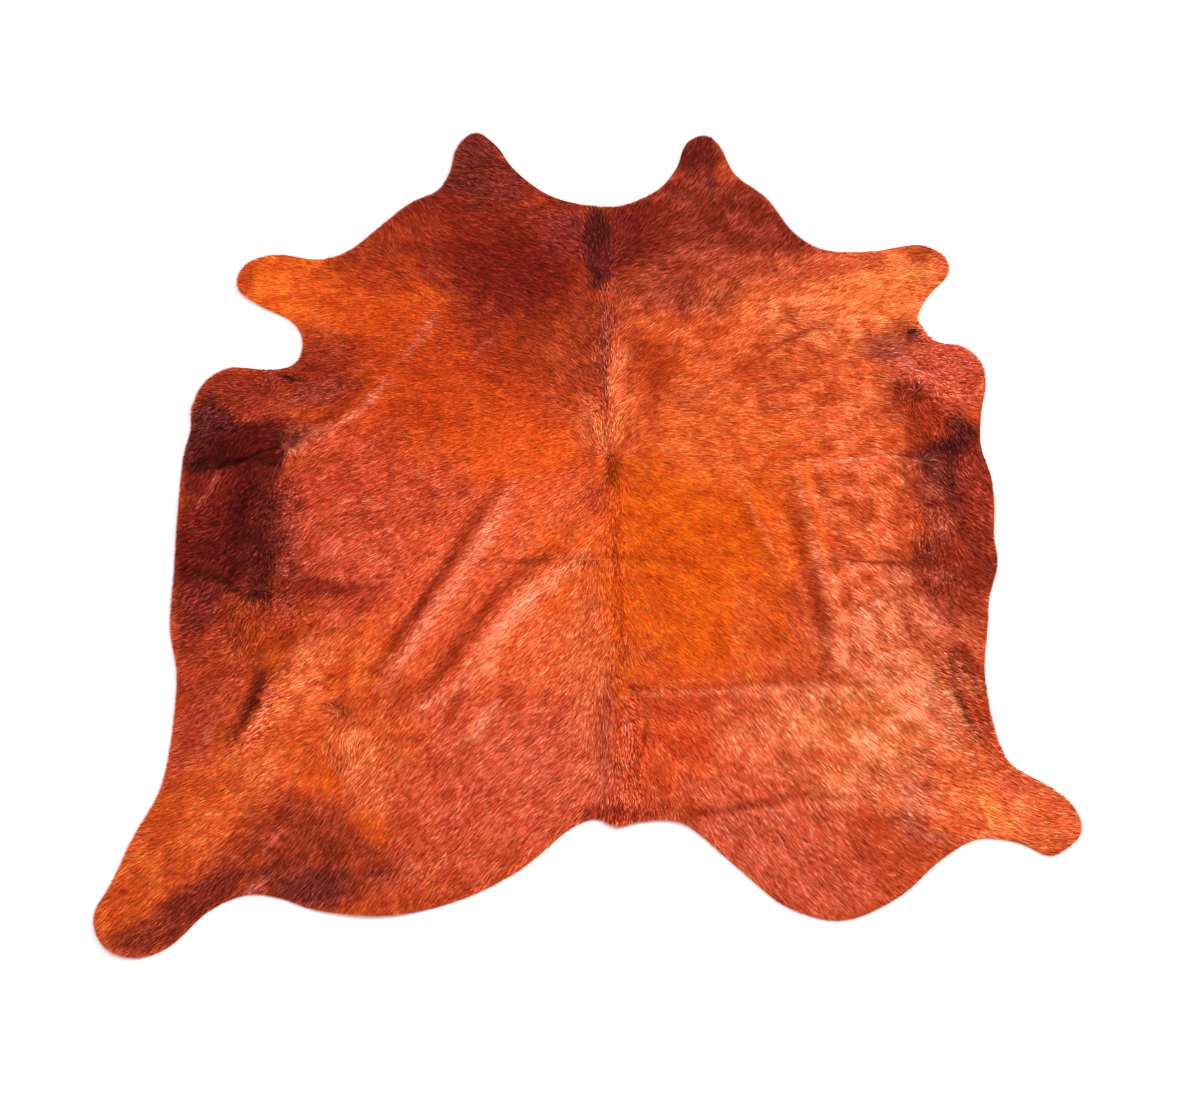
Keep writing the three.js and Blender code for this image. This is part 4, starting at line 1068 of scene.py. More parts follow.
@dataclass
class Dye:
    """The colour of the dyed coat all over the hide, over its natural darker points.

    Patches have ragged edges, and the lines of painted light and colour waver. Blotches of several sizes
    mottle the coat, and warmth makes the dim ones redder. Slopes that face the window lamp get painted light
    and those that face away painted shade, and a band beside each crease gets painted shade. Single hairs
    differ more where the coat is rosy, and bright ones get a painted glint, most of all among dark hair.
    grain is how far a hair's tone pulls red, green and blue, grain_lost is what a bright red takes off that,
    and body is the share of each that a hair keeps beside its painted glint.
    """

    edge: CutEdge
    relief: Relief
    ground: str = "#C8522A"
    ground_mottle: float = 0.4
    ragged: tuple[Lumps, ...] = (Lumps(0.32, 90, 11), Lumps(0.24, 36, 12), Lumps(0.15, 13, 13))
    patch_margin: float = 2.1
    light_line_waver: tuple[Lumps, ...] = (Lumps(2.5, 30, 14), Lumps(1.2, 9, 15))
    light_line_reach: Lumps = Lumps(0.2, 40, 16)
    light_line_margin: float = 1.4
    light_line_taper: float = 0.4
    blotch_bends: tuple[Lumps, Lumps] = (Lumps(7, 18, 24), Lumps(7, 18, 25))
    blotches: tuple[Lumps, ...] = (Lumps(1.9, 30, 21), Lumps(1.1, 13, 22))
    flecks: Lumps = Lumps(0.4, 6, 23)
    blotch_gain: float = 0.36
    painted_slope_light_gain: float = 0.1
    warmth: tuple[float, float, float] = (1.0, 1.8, 2.8)
    painted_crease_shade_gain: float = 0.62
    rim: str = "#D4581E"
    rim_share: float = 0.2
    rim_width: float = 5.0
    body: tuple[float, float, float] = (1.0, 0.86, 0.71)
    rosiest: float = 0.07
    plain_play: float = 0.65
    rosy_play: float = 6.0
    bright_tone: float = 0.85
    grain: tuple[float, float, float] = (0.95, 1.05, 1.3)
    grain_lost: tuple[float, float, float] = (0.45, 0.0, 0.0)
    glint: float = 0.09
    glint_from: float = 0.3
    dark_glint: float = 1.7
    dark_below: float = 0.4

    def __post_init__(self) -> None:
        """Lays the patches over one another on the grid, and the lines of painted light and colour over them.
        """
        x, y = GRID.places()
        self.colour = np.broadcast_to(linear(self.ground), x.shape + (3,)).copy()
        self.mottle = np.full(x.shape, self.ground_mottle)
        ragged = heaped(self.ragged, x, y)
        for patch in PATCHES:
            margin = self.patch_margin * max(patch.length, patch.width)
            window = GRID.window(np.array([patch.x]), np.array([patch.y]), margin)
            distance = patch.distance(x[window], y[window]) + ragged[window]
            share = patch.strength * ease((1 - distance) / patch.softness + 0.5)
            self._tint(window, share, patch.colour)
            self.mottle[window] += share * (patch.mottle - self.mottle[window])
        # Painted highlights and painted shade along folds and creases, and darker or paler lines of the coat.
        for light_line in PAINTED_LIGHT_AND_COLOUR_LINES:
            points = smooth_route(light_line.route)
            window = GRID.window(points[:, 0], points[:, 1], self.light_line_margin * light_line.reach)
            near_x, near_y = x[window], y[window]
            waver = heaped(self.light_line_waver, near_x, near_y)
            distance, along, _ = nearest_on_route(points, near_x + waver, near_y - waver)
            fade = np.sin(np.pi * along) ** self.light_line_taper
            reach = light_line.reach * (1 + self.light_line_reach.at(near_x, near_y))
            self._tint(window, light_line.strength * fade * hump(distance / reach), light_line.colour)

    def _tint(self, window: tuple[slice, slice], share: np.ndarray, colour: str) -> None:
        """Turns the colour of some grid points towards another by a share."""
        self.colour[window] += share[..., None] * (linear(colour) - self.colour[window])

    def mottle_at(self, x: np.ndarray, y: np.ndarray) -> np.ndarray:
        """Gives how mottled the coat is, from 0 to 1."""
        return GRID.read(self.mottle, x, y)

    def colour_at(self, x: np.ndarray, y: np.ndarray) -> np.ndarray:
        """Gives the colour of the coat with its blotches, painted light and shade on its slopes, painted
        shade beside its creases, and its bright rim.

        Args:
            x: Places to the right.
            y: Places forwards.

        Returns:
            Linear red, green and blue to each place.
        """
        bend_x, bend_y = (lumps.at(x, y) for lumps in self.blotch_bends)
        blotches = heaped(self.blotches, x + bend_x, y + bend_y) + self.flecks.at(x, y)
        tone = 1 + self.blotch_gain * self.mottle_at(x, y) * np.tanh(blotches)
        # Painted light and painted shade by which way the slope faces.
        tone = tone + self.painted_slope_light_gain * GRID.read(self.relief.painted_slope_light, x, y)
        warm = np.column_stack([tone**power for power in self.warmth])
        # Painted shade in a band beside each crease.
        crease_shaded = 1 - self.painted_crease_shade_gain * GRID.read(self.relief.painted_crease_shade, x, y)
        rim = self.rim_share * ease(1 - self.edge.depth_at(x, y) / self.rim_width)[:, None]
        colour = GRID.read(self.colour, x, y) * warm * crease_shaded[:, None]
        return colour * (1 - rim) + linear(self.rim) * rim

    def strands_at(self, x: np.ndarray, y: np.ndarray, tone: np.ndarray) -> np.ndarray:
        """Gives the colour of single hairs: dim ones deeper and redder, bright ones with a painted pale
        glint.

        Args:
            x: Places to the right.
            y: Places forwards.
            tone: How bright each hair is, about 0 with a spread of 1.

        Returns:
            Linear red, green and blue to each hair.
        """
        colour = self.colour_at(x, y)
        red = colour[:, :1]
        play = self.plain_play + self.rosy_play * np.clip(colour[:, 2:] / red, 0, self.rosiest)
        tone = np.where(tone > 0, self.bright_tone * tone, tone)[:, None]
        grain = play * (np.array(self.grain) - red * np.array(self.grain_lost))
        body = colour * np.exp(grain * tone - grain**2 / 2)
        # A painted highlight on the bright hairs, strongest among dark hair.
        dark = 1 + self.dark_glint * np.clip(1 - red / self.dark_below, 0, 1)
        glint = self.glint * dark * np.clip(tone - self.glint_from, 0, 2) * play
        return body * self.body + glint * np.sqrt(colour)


@dataclass
class Hide:
    """What every piece of the rug shares: edge, relief, combing and dye."""

    edge: CutEdge
    relief: Relief
    combing: Combing
    dye: Dye


def add_node(
    material: bpy.types.Material, kind: str, settings: dict, links: dict | None = None
) -> bpy.types.Node:
    """Adds a node to a material.

    Args:
        material: The material that gets it.
        kind: Blender's name for the kind of node.
        settings: Values by an input's name or number, or by attribute name where the node has no such input.
        links: The output socket that feeds each input, by name or number.

    Returns:
        The new node.
    """
    node = material.node_tree.nodes.new(kind)
    for name, value in settings.items():
        if isinstance(name, int) or name in node.inputs:
            node.inputs[name].default_value = value
        else:
            setattr(node, name, value)
    for name, socket in (links or {}).items():
        material.node_tree.links.new(socket, node.inputs[name])
    return node


def new_material(name: str) -> bpy.types.Material:
    """Makes an empty node material.

    Args:
        name: The material's name.

    Returns:
        The material.
    """
    material = bpy.data.materials.new(name)
    material.use_nodes = True
    material.node_tree.nodes.clear()
    return material


@dataclass(frozen=True)
class HairFinish:
    """Cattle hair, aniline dyed. Each hair is a smooth keratin rod that glints softly, with a faint bloom.

    A real hair is under 0.1 mm thick. strand is as wide as a lock of hairs, because no finer one would show.
    """

    name: str = "cattle hair, aniline dyed"
    roughness: float = 0.5
    specular: float = 0.06
    sheen: float = 0.01
    sheen_roughness: float = 0.4
    sheen_tint: str = "#FFC0B0"
    strand: float = 1.6
    strand_share: float = 0.3
    clump: float = 22.0
    darkest_reading: float = 0.3
    dimmest: float = 0.8
    brightest: float = 1.2

    def build(self) -> bpy.types.Material:
        """Makes the material. Its colour is that of each hair, a little uneven from lock to lock.

        Returns:
            The material.
        """
        material = new_material(self.name)
        place = add_node(material, "ShaderNodeTexCoord", {})
        dye = add_node(material, "ShaderNodeAttribute", {"attribute_name": "coat"})
        strands, clumps = (
            add_node(material, "ShaderNodeTexNoise", settings, {"Vector": place.outputs["Object"]})
            for settings in (
                {"Scale": 1000 / self.strand, "Detail": 1.0},
                {"Scale": 1000 / self.clump, "Detail": 3.0, "Roughness": 0.6},
            )
        )
        uneven = add_node(
            material,
            "ShaderNodeMath",
            {"operation": "MULTIPLY_ADD", 1: self.strand_share},
            {0: strands.outputs["Fac"], 2: clumps.outputs["Fac"]},
        )
        value = add_node(
            material,
            "ShaderNodeMapRange",
            {"From Min": self.darkest_reading, "To Min": self.dimmest, "To Max": self.brightest},
            {"Value": uneven.outputs[0]},
        )
        tinted = add_node(
            material,
            "ShaderNodeHueSaturation",
            {},
            {"Value": value.outputs[0], "Color": dye.outputs["Color"]},
        )
        shader = add_node(
            material,
            "ShaderNodeBsdfPrincipled",
            {
                "Roughness": self.roughness,
                "Specular IOR Level": self.specular,
                "Sheen Weight": self.sheen,
                "Sheen Roughness": self.sheen_roughness,
                "Sheen Tint": (*linear(self.sheen_tint), 1),
            },
            {"Base Color": tinted.outputs["Color"]},
        )
        add_node(material, "ShaderNodeOutputMaterial", {}, {"Surface": shader.outputs[0]})
        return material


@dataclass(frozen=True)
class LeatherFinish:
    """Chrome tanned cattle leather. Its split side is sueded, which leaves a dull, short nap.

    A real nap is finer than nap says. It is drawn that coarse so that it shows.
    """

    name: str = "cattle leather, split side sueded"
    colour: str = "#B8703E"
    pale: str = "#D39A66"
    roughness: float = 0.88
    ior: float = 1.45
    sheen: float = 0.25
    sheen_roughness: float = 0.5
    nap: float = 1.2
    nap_height: float = 0.4
    cloud: float = 60.0

    def build(self) -> bpy.types.Material:
        """Makes the material, cloudy from the dye drum and rough from its nap.

        Returns:
            The material.
        """
        material = new_material(self.name)
        place = add_node(material, "ShaderNodeTexCoord", {})
        clouds, nap = (
            add_node(material, "ShaderNodeTexNoise", settings, {"Vector": place.outputs["Object"]})
            for settings in (
                {"Scale": 1000 / self.cloud, "Detail": 4.0},
                {"Scale": 1000 / self.nap, "Detail": 2.0, "Roughness": 0.7},
            )
        )
        colour = add_node(
            material,
            "ShaderNodeMix",
            {"data_type": "RGBA", 6: (*linear(self.colour), 1), 7: (*linear(self.pale), 1)},
            {"Factor": clouds.outputs["Fac"]},
        )
        bump = add_node(
            material,
            "ShaderNodeBump",
            {"Strength": 0.5, "Distance": self.nap_height / 1000},
            {"Height": nap.outputs["Fac"]},
        )
        shader = add_node(
            material,
            "ShaderNodeBsdfPrincipled",
            {
                "Roughness": self.roughness,
                "IOR": self.ior,
                "Sheen Weight": self.sheen,
                "Sheen Roughness": self.sheen_roughness,
            },
            {"Base Color": colour.outputs[2], "Normal": bump.outputs["Normal"]},
        )
        add_node(material, "ShaderNodeOutputMaterial", {}, {"Surface": shader.outputs[0]})
        return material


def mesh_piece(
    name: str, points: np.ndarray, faces: np.ndarray, materials: list[bpy.types.Material]
) -> bpy.types.Object:
    """Makes an object of triangles.

    Args:
        name: The piece's name.
        points: Corners in the frame, in metres.
        faces: Three corner numbers to a row.
        materials: Its materials, in slot order.

    Returns:
        The new object, linked to the scene.
    """
    mesh = bpy.data.meshes.new(name)
    mesh.vertices.add(len(points))
    mesh.vertices.foreach_set("co", points.astype(np.float32).ravel())
    mesh.loops.add(faces.size)
    mesh.loops.foreach_set("vertex_index", faces.astype(np.int32).ravel())
    mesh.polygons.add(len(faces))
    mesh.polygons.foreach_set("loop_start", np.arange(0, faces.size, 3, dtype=np.int32))
    mesh.update(calc_edges=True)
    mesh.validate()
    for material in materials:
        mesh.materials.append(material)
    piece = bpy.data.objects.new(name, mesh)
    bpy.context.scene.collection.objects.link(piece)
    log.info("%s: %d triangles", name, len(mesh.polygons))
    return piece


def paint(piece: bpy.types.Object, colours: np.ndarray) -> None:
    """Stores one linear colour to each corner point, as the attribute that the hair's material reads."""
    layer = piece.data.color_attributes.new("coat", "FLOAT_COLOR", "POINT")
    layer.data.foreach_set("color", np.column_stack([np.clip(colours, 0, 1), np.ones(len(colours))]).ravel())


def lay_flat_map(piece: bpy.types.Object, margin: float = 1.03) -> None:
    """Gives a piece a map in which every place of the hide keeps its own spot, seen from above.

    Args:
        piece: The piece.
        margin: How much wider the map is than the hide.
    """
    low, high = (np.array(corner[:2]) for corner in CAD_BOX)
    mesh = piece.data
    corners = np.empty(len(mesh.loops), np.int32)
    mesh.loops.foreach_get("vertex_index", corners)
    points = np.empty(len(mesh.vertices) * 3, np.float32)
    mesh.vertices.foreach_get("co", points)
    places = points.reshape(-1, 3)[corners, :2]
    spots = 0.5 + (places - (low + high) / 2) / ((high - low).max() * margin)
    mesh.uv_layers.new(name="OFBake").data.foreach_set("uv", spots.astype(np.float32).ravel())


def hair_piece(
    name: str, points: np.ndarray, normals: np.ndarray, colours: np.ndarray, material: bpy.types.Material
) -> bpy.types.Object:
    """Makes one piece of hair that rides on the hide.

    Args:
        name: The piece's name.
        points: Corner points in the frame, a row of rows to each hair: pairs of corners, and then the tip.
        normals: The way each corner faces.
        colours: Linear colour of each corner.
        material: The hair's finish.

    Returns:
        The piece.
    """
    count, corners = points.shape[:2]
    pattern = []
    for k in range(0, corners - 3, 2):
        pattern += [(k, k + 1, k + 3), (k, k + 3, k + 2)]
    pattern.append((corners - 3, corners - 2, corners - 1))
    faces = (np.arange(count)[:, None, None] * corners + np.array(pattern)).reshape(-1, 3)
    piece = mesh_piece(name, points.reshape(-1, 3), faces, [material])
    facing = piece.data.attributes.new("custom_normal", "FLOAT_VECTOR", "POINT")
    facing.data.foreach_set("vector", normals.astype(np.float32).ravel())
    paint(piece, colours.reshape(-1, 3))
    lay_flat_map(piece)
    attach(piece, "root")
    return piece


@dataclass
class Leather:
    """The tanned sheet under the hair, with a rounded cut edge and a sueded underside.

    rim holds the loops round the cut edge, from the skin side up: height, and distance inside the edge.
    """

    hide: Hide
    spacing: float = 8.0
    busy_share: float = 0.3
    edge_clearance: float = 6.0
    rim: tuple[tuple[float, float], ...] = ((0.0, 0.5), (0.6, 0.0), (1.9, 0.0))
    rim_inset: float = 0.5
    painted_root_shade: float = 0.62

    def plan(self) -> tuple[np.ndarray, np.ndarray]:
        """Lays out the sheet's points, closer together where it bends, and joins them into triangles.

        Returns:
            The places of the points, the cut edge's first, and three point numbers to each triangle.
        """
        edge = self.hide.edge
        rim = edge.line - self.rim_inset * edge.outwards
        columns = int(GRID.step * GRID.columns / self.spacing)
        rows = int(GRID.step * GRID.rows / self.spacing)
        column, row = (part.ravel() for part in np.meshgrid(np.arange(columns), np.arange(rows)))
        x = GRID.west + self.spacing * (column + 0.5 * (row % 2))
        y = GRID.south + self.spacing * row
        # Of the staggered points, one in four is enough where the sheet is flat.
        coarse = (column % 2 == (row // 2) % 2) & (row % 2 == 0)
        wanted = coarse | (GRID.read(self.hide.relief.busy(), x, y) > self.busy_share)
        wanted &= edge.depth_at(x, y) > self.edge_clearance
        places = np.vstack([rim, np.column_stack([x[wanted], y[wanted]])])
        loop = [(i, (i + 1) % len(rim)) for i in range(len(rim))]
        found = delaunay_2d_cdt([Vector(place) for place in places], loop, [], 1, 1e-4)
        return np.array([tuple(place) for place in found[0]]), np.array(list(found[2]))

    def shell(self) -> tuple[np.ndarray, np.ndarray, slice]:
        """Closes the sheet: hair side, skin side and the edge between them.

        Returns:
            The corners in the frame, three corner numbers to a triangle, and which triangles face the floor.
        """
        places, faces = self.plan()
        edge = self.hide.edge
        count, total = len(edge.line), len(places)
        skin = self.hide.relief.height_at(*places.T)
        loops = [
            in_frame(*(edge.line - inset * edge.outwards).T, skin[:count] + height)
            for height, inset in self.rim
        ]
        under = in_frame(*places.T, skin)[count:]
        points = np.vstack([in_frame(*places.T, skin + LEATHER_THICKNESS), *loops, under])
        *first, first_under = (total + count * k for k in range(len(loops) + 1))
        onto_under = np.concatenate([first[0] + np.arange(count), first_under + np.arange(total - count)])
        here = np.arange(count)
        after = (here + 1) % count
        strips = []
        for lower, upper in zip(first, [*first[1:], 0]):
            strips.append(np.column_stack([lower + here, lower + after, upper + after]))
            strips.append(np.column_stack([lower + here, upper + after, upper + here]))
        every = np.vstack([faces, onto_under[faces][:, ::-1], *strips])
        return points, every, slice(len(faces), 2 * len(faces))

    def build(self) -> bpy.types.Object:
        """Makes the sheet, with the roots of the hair on it and suede under it.

        Returns:
            The sheet.
        """
        points, faces, downwards = self.shell()
        materials = [HairFinish(name="hair roots, aniline dyed").build(), LeatherFinish().build()]
        piece = mesh_piece("tanned_sheet", points, faces, materials)
        slots = np.zeros(len(faces), np.int32)
        slots[downwards] = 1
        piece.data.polygons.foreach_set("material_index", slots)
        piece.data.shade_smooth()
        # The hair side gets the coat's colour dimmed as painted shade, so that the gaps between the hairs
        # look deep in shade.
        paint(piece, self.painted_root_shade * self.hide.dye.colour_at(*on_hide(points).T))
        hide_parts("hide")
        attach(piece, "root")
        return piece


class Side(Enum):
    """The four sides that the coat is made in."""

    LEFT_FORE = "coat_left_fore"
    RIGHT_FORE = "coat_right_fore"
    LEFT_HIND = "coat_left_hind"
    RIGHT_HIND = "coat_right_hind"


@dataclass
class Hairs:
    """Hairs to be made into a mesh: where they grow, how they lie, and their sizes.

    Lengths are in millimetres and turns in radians. curl is the turn at each bend, roll is the turn about the
    hair's own length, and drift is how far along the hair its colour is read, which feathers the dye's edges.
    """

    x: np.ndarray
    y: np.ndarray
    heading: np.ndarray
    curl: np.ndarray
    length: np.ndarray
    width: np.ndarray
    lift: np.ndarray
    tone: np.ndarray
    roll: np.ndarray
    drift: np.ndarray

    def ahead(self, distance: np.ndarray, turned: np.ndarray | float = 0.0) -> tuple[np.ndarray, np.ndarray]:
        """Gives the places a distance ahead of the roots, at a turn from the heading."""
        heading = self.heading + turned
        return self.x + distance * np.cos(heading), self.y + distance * np.sin(heading)


def drawn(rng: np.random.Generator, count: int, most: float = 2.0) -> np.ndarray:
    """Draws numbers round 0 with a spread of 1, none of them further out than most."""
    return rng.normal(size=count).clip(-most, most)


@dataclass(frozen=True)
class Stop:
    """A place along a blade: its shares of the hair's lift and width, and its painted light, which dims the
    root as painted shade among the hairs and brightens the tip.
    """

    lift: float
    width: float
    brightness: float


@dataclass
class Growth:
    """Hair that grows on the hide: one flat tapered blade to each lock of a few hairs, from stop to stop.

    roundness is how far the two edges of a blade face apart, and root_sink is how deep its root sits.
    """

    hide: Hide
    overhang: float
    roundness: float
    stops: tuple[Stop, ...]
    root_sink: float = 0.2
    shortest: float = 0.2

    def trim(self, hairs: Hairs) -> None:
        """Shortens the hairs that would reach too far past the cut edge.

        Args:
            hairs: The hairs, whose lengths change.
        """
        root = self.hide.edge.depth_at(hairs.x, hairs.y)
        tip = self.hide.edge.depth_at(*hairs.ahead(hairs.length, hairs.curl / 2))
        over = tip < -self.overhang
        share = (root[over] + self.overhang) / (root[over] - tip[over])
        hairs.length[over] *= np.clip(share, self.shortest, 1)

    def blades(self, hairs: Hairs) -> tuple[np.ndarray, np.ndarray, np.ndarray]:
        """Works out the corners of every blade: two at each stop and one at its tip.

        Args:
            hairs: The hairs.

        Returns:
            Corner points in the frame, corner normals, and colours, with a row of rows to each hair.
        """
        relief = self.hide.relief
        x, y, heading = hairs.x, hairs.y, hairs.heading
        step = hairs.length / (len(self.stops) - 1)
        places = [in_frame(x, y, relief.height_at(x, y) + LEATHER_THICKNESS - self.root_sink)]
        for stop in self.stops[1:]:
            x, y = x + step * np.cos(heading), y + step * np.sin(heading)
            places.append(in_frame(x, y, relief.height_at(x, y) + LEATHER_THICKNESS + stop.lift * hairs.lift))
            heading = heading + hairs.curl
        run = unit(places[-1] - places[0])
        across = unit(np.cross(relief.normal_at(hairs.x, hairs.y), run))
        roll = hairs.roll[:, None]
        across = across * np.cos(roll) + np.cross(run, across) * np.sin(roll)
        facing = np.cross(run, across)
        half = (hairs.width / 2000)[:, None] * across
        colour = self.hide.dye.strands_at(*hairs.ahead(hairs.drift), hairs.tone)
        points, normals, colours = [], [], []
        for place, stop in zip(places, self.stops):
            for side in (1, -1) if stop.width else (0,):
                points.append(place + side * stop.width * half)
                normals.append(facing + side * self.roundness * across)
                # Painted shade at the root and a brighter tip.
                colours.append(stop.brightness * colour)
        return np.stack(points, axis=1), unit(np.stack(normals, axis=1)), np.stack(colours, axis=1)


@dataclass
class Coat(Growth):
    """The short lying hair, made in four sides that meet at the back line and across the loin.

    The hairs of one lock share what is named for the lock, and what is named own differs from hair to hair.
    wave, turn and roll are in degrees.
    """

    overhang: float = 3.0
    roundness: float = 0.55
    # The root is dimmed as painted shade among the hairs, and the tip is brightened.
    stops: tuple[Stop, ...] = (Stop(0.0, 1.0, 0.5), Stop(1.0, 0.0, 1.17))
    across_back: float = 20.0
    across_loin: float = 662.0
    spacing: float = 1.9
    edge_clearance: float = 0.4
    lock_seed: int = 33
    plain_wave: float = 2.0
    mottled_wave: float = 9.0
    waves: tuple[Lumps, ...] = (Lumps(0.6, 30, 31), Lumps(0.5, 13, 32))
    lock_turn: float = 3.0
    turn_seed: int = 34
    own_turn: float = 2.5
    length: float = 13.5
    own_length: float = 0.18
    width: float = 1.35
    own_widths: tuple[float, float] = (0.75, 1.2)
    lift: float = 2.3
    lock_lift: float = 1.1
    lift_lumps: Lumps = Lumps(0.5, 16, 35)
    own_lifts: tuple[float, float] = (-0.5, 0.6)
    lock_tone: float = 0.4
    own_tone: float = 0.9
    lock_roll: float = 14.0
    roll_seed: int = 36
    own_roll: float = 8.0
    drift_share: float = 0.85
    lock_drift: float = 3.0
    own_drift: float = 3.0

    def grown(self) -> Hairs:
        """Sows the roots on a shaken grid inside the cut edge, and combs every hair.

        Returns:
            The hairs.
        """
        rng = np.random.default_rng(SEED)
        edge, dye = self.hide.edge, self.hide.dye
        low, high = edge.line.min(0), edge.line.max(0)
        x, y = (
            part.ravel() for part in np.meshgrid(*(np.arange(low[k], high[k], self.spacing) for k in (0, 1)))
        )
        x = x + rng.uniform(-0.5, 0.5, len(x)) * self.spacing
        y = y + rng.uniform(-0.5, 0.5, len(y)) * self.spacing
        inside = edge.depth_at(x, y) > self.edge_clearance
        x, y = x[inside], y[inside]
        count = len(x)
        wave = (self.plain_wave + self.mottled_wave * dye.mottle_at(x, y)) * heaped(self.waves, x, y)
        heading = self.hide.combing.heading_at(x, y) + np.radians(wave)
        lock = streaks(x, y, heading, self.lock_seed)
        turn = self.lock_turn * streaks(x, y, heading, self.turn_seed)
        turn += self.own_turn * rng.normal(size=count)
        length = self.length * (1 + self.own_length * drawn(rng, count))
        width = self.width * rng.uniform(*self.own_widths, count)
        lift = self.lift + self.lock_lift * lock + self.lift_lumps.at(x, y)
        lift += rng.uniform(*self.own_lifts, count)
        tone = self.lock_tone * lock + self.own_tone * drawn(rng, count)
        roll = self.lock_roll * streaks(x, y, heading, self.roll_seed)
        roll += self.own_roll * rng.normal(size=count)
        drift = self.drift_share * self.length + self.lock_drift * lock
        drift += self.own_drift * rng.normal(size=count)
        return Hairs(
            x=x,
            y=y,
            heading=heading + np.radians(turn),
            curl=np.zeros(count),
            length=length,
            width=width,
            lift=lift,
            tone=tone,
            roll=np.radians(roll),
            drift=drift,
        )

    def build(self) -> list[bpy.types.Object]:
        """Makes the coat.

        Returns:
            Its four sides.
        """
        hairs = self.grown()
        self.trim(hairs)
        points, normals, colours = self.blades(hairs)
        left, hind = hairs.x < self.across_back, hairs.y < self.across_loin
        parts = {
            Side.LEFT_FORE: left & ~hind,
            Side.RIGHT_FORE: ~left & ~hind,
            Side.LEFT_HIND: left & hind,
            Side.RIGHT_HIND: ~left & hind,
        }
        material = HairFinish().build()
        return [
            hair_piece(side.value, points[chosen], normals[chosen], colours[chosen], material)
            for side, chosen in parts.items()
        ]


@dataclass
class LongHair(Growth):
    """The longer, bent hair of the mane, the whorls, the belly edges and the tail.

    gathered is 0.5 where hairs fill a tuft evenly, and more where they gather in its middle.
    """

    overhang: float = 5.0
    roundness: float = 0.6
    # The root is dimmed as painted shade among the hairs, and the tip is brightened.
    stops: tuple[Stop, ...] = (Stop(0.0, 1.0, 0.5), Stop(0.8, 0.8, 0.85), Stop(1.0, 0.0, 1.1))
    edge_clearance: float = 1.0
    gathered: float = 0.6
    rim_loss: float = 0.35
    own_lengths: tuple[float, float] = (0.75, 1.15)
    own_lifts: tuple[float, float] = (0.6, 1.1)
    waves: Lumps = Lumps(10, 20, 41)
    width: float = 1.6
    own_widths: tuple[float, float] = (0.7, 1.2)
    drift_share: float = 0.7
    own_drift: float = 4.0

    def sown(self) -> Hairs:
        """Sows the hairs of every tuft, shorter towards its rim.

        Returns:
            The hairs.
        """
        rng = np.random.default_rng(SEED + 2)
        parts = []
        for tuft in TUFTS:
            angle = rng.uniform(0, 2 * math.pi, tuft.hairs)
            out = rng.uniform(0, 1, tuft.hairs) ** self.gathered
            turn = math.radians(tuft.turn)
            along, across = tuft.length * out * np.cos(angle), tuft.width * out * np.sin(angle)
            size = 1 - self.rim_loss * out
            parts.append(
                [
                    tuft.x + along * math.cos(turn) - across * math.sin(turn),
                    tuft.y + along * math.sin(turn) + across * math.cos(turn),
                    tuft.hair * size * rng.uniform(*self.own_lengths, tuft.hairs),
                    tuft.lift * size * rng.uniform(*self.own_lifts, tuft.hairs),
                    np.radians(tuft.curl * drawn(rng, tuft.hairs)),
                ]
            )
        x, y, length, lift, curl = np.hstack(parts)
        inside = self.hide.edge.depth_at(x, y) > self.edge_clearance
        x, y, length, lift, curl = (part[inside] for part in (x, y, length, lift, curl))
        width = self.width * rng.uniform(*self.own_widths, len(x))
        tone = drawn(rng, len(x))
        # The first row is drawn so that the second one keeps its values, and isn't used.
        _, shift = rng.normal(size=(2, len(x)))
        return Hairs(
            x=x,
            y=y,
            heading=self.hide.combing.heading_at(x, y) + np.radians(self.waves.at(x, y)) - curl / 2,
            curl=curl,
            length=length,
            width=width,
            lift=lift,
            tone=tone,
            roll=np.zeros(len(x)),
            drift=self.drift_share * length + self.own_drift * shift,
        )

    def build(self) -> bpy.types.Object:
        """Makes the long hair, each blade bent once on its way.

        Returns:
            The piece.
        """
        hairs = self.sown()
        self.trim(hairs)
        material = HairFinish(name="long cattle hair, aniline dyed").build()
        return hair_piece("long_hair", *self.blades(hairs), material)


@dataclass(frozen=True)
class Lamp:
    """A soft box light: where it hangs, its side, its power in watts, and its colour."""

    name: str
    place: tuple[float, float, float]
    side: float
    power: float
    colour: str

    def build(self) -> None:
        """Hangs the lamp and aims it at the middle of the hide."""
        light = bpy.data.lights.new(self.name, "AREA")
        light.size = self.side
        light.energy = self.power
        light.color = linear(self.colour)
        holder = bpy.data.objects.new(self.name, light)
        holder.location = self.place
        holder.rotation_euler = (-Vector(self.place)).to_track_quat("-Z", "Y").to_euler()
        bpy.context.scene.collection.objects.link(holder)


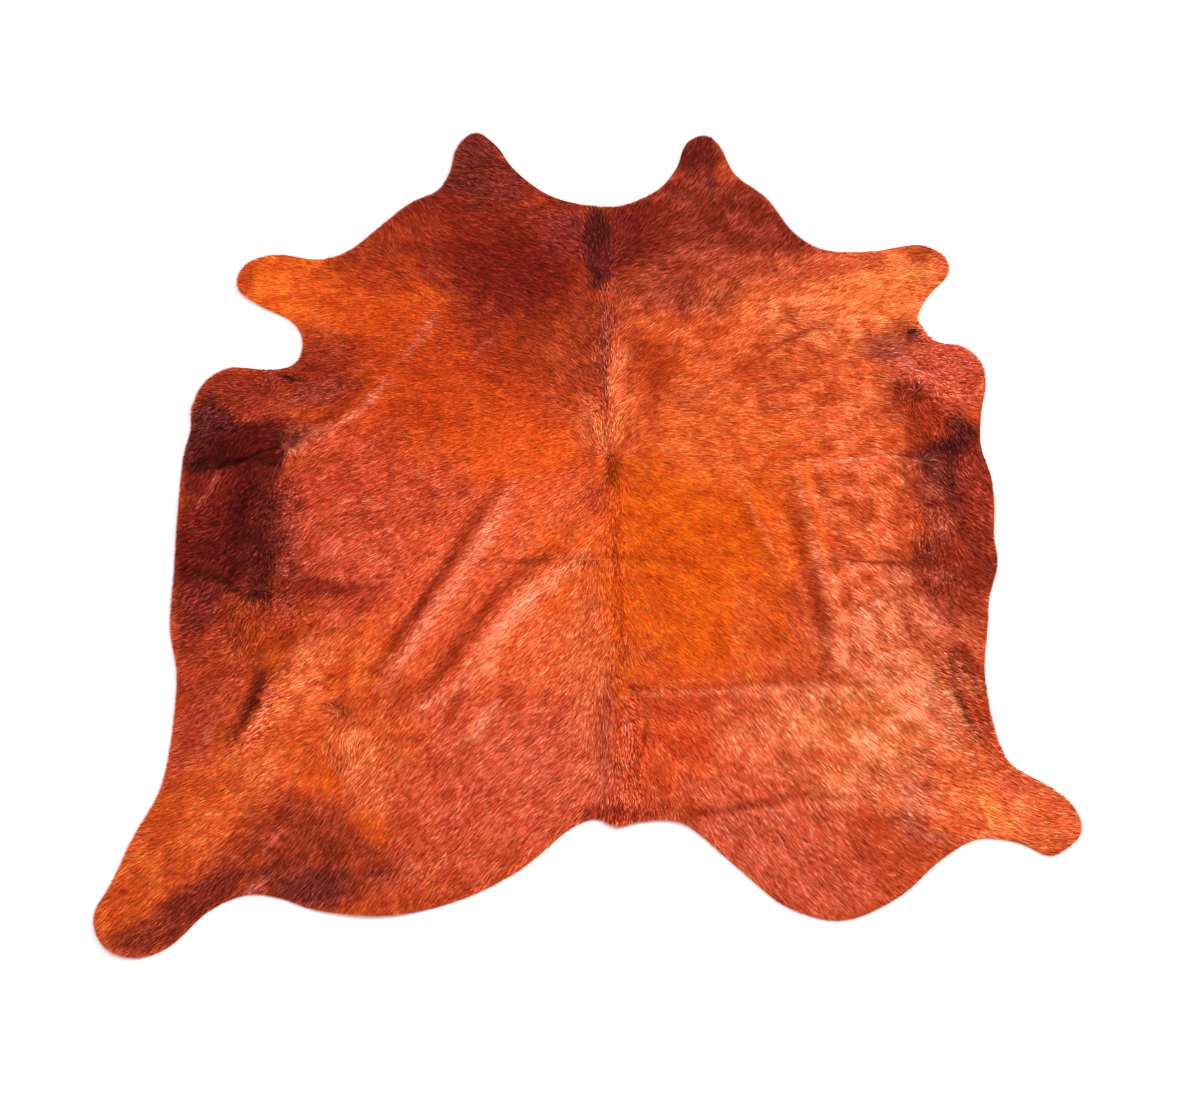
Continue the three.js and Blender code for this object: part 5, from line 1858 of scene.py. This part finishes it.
@dataclass(frozen=True)
class Studio:
    """A plain pale floor, soft lights, and the camera at the tail end, where the photograph was taken from.

    Places and sizes are in metres, the elevation is in degrees, and lens and sensor are in millimetres.
    """

    target: tuple[float, float, float] = (0.01207, -0.12756, 0.0)
    elevation: float = 60.0
    distance: float = 3.88
    lens: float = 56.13
    sensor: float = 36.0
    floor: float = 14.0
    floor_gap: float = 0.0005
    floor_tone: float = 0.86
    wall_light: float = 0.6
    lamps: tuple[Lamp, ...] = (
        Lamp("window", (4.2, 0.9, 2.6), 1.6, 374, "#FFF4EA"),
        Lamp("ceiling", (-0.6, -0.4, 4.2), 3.6, 143, "#F4F6FF"),
    )

    def build(self) -> None:
        """Makes the floor, the lights, the pale walls' glow and the camera."""
        scene = bpy.context.scene
        scene.view_settings.view_transform = "Standard"
        self.lay_floor()
        for lamp in self.lamps:
            lamp.build()
        world = bpy.data.worlds.new("studio walls")
        world.use_nodes = True
        glow = world.node_tree.nodes["Background"]
        glow.inputs["Color"].default_value = (1.0, 1.0, 1.0, 1.0)
        glow.inputs["Strength"].default_value = self.wall_light
        scene.world = world
        camera = bpy.data.cameras.new("camera at the tail")
        camera.lens = self.lens
        camera.sensor_width = self.sensor
        tilt = math.radians(self.elevation)
        holder = bpy.data.objects.new("camera at the tail", camera)
        holder.location = Vector(self.target) + self.distance * Vector((0, -math.cos(tilt), math.sin(tilt)))
        holder.rotation_euler = Euler((math.pi / 2 - tilt, 0, 0))
        scene.collection.objects.link(holder)
        scene.camera = holder

    def lay_floor(self) -> None:
        """Lays the floor just under the hide."""
        half = self.floor / 2
        corners = [(-half, -half, 0), (half, -half, 0), (half, half, 0), (-half, half, 0)]
        mesh = bpy.data.meshes.new("studio_floor")
        mesh.from_pydata(corners, [], [(0, 1, 2, 3)])
        material = new_material("matt white floor")
        shader = add_node(
            material,
            "ShaderNodeBsdfPrincipled",
            {"Base Color": (*[self.floor_tone] * 3, 1), "Roughness": 0.9, "IOR": 1.4},
        )
        add_node(material, "ShaderNodeOutputMaterial", {}, {"Surface": shader.outputs[0]})
        mesh.materials.append(material)
        floor = bpy.data.objects.new("studio_floor", mesh)
        floor.location.z = -self.floor_gap
        bpy.context.scene.collection.objects.link(floor)


def main() -> None:
    """Builds the rug in the order in which it grows: sheet, coat, long hair, and then the studio."""
    logging.basicConfig(level=logging.INFO, format="%(message)s")
    edge, relief = CutEdge("hide"), Relief()
    hide = Hide(edge, relief, Combing(), Dye(edge, relief))
    sheet = Leather(hide).build()
    coat = Coat(hide).build()
    long_hair = LongHair(hide).build()
    area = area_inside(edge.line) / 1e6
    width, length = (edge.line.max(0) - edge.line.min(0)) / 1000
    log.info("flat size %.3f by %.3f m, %.3f square metres", width, length, area)
    Studio().build()


if __name__ == "__main__":
    main()
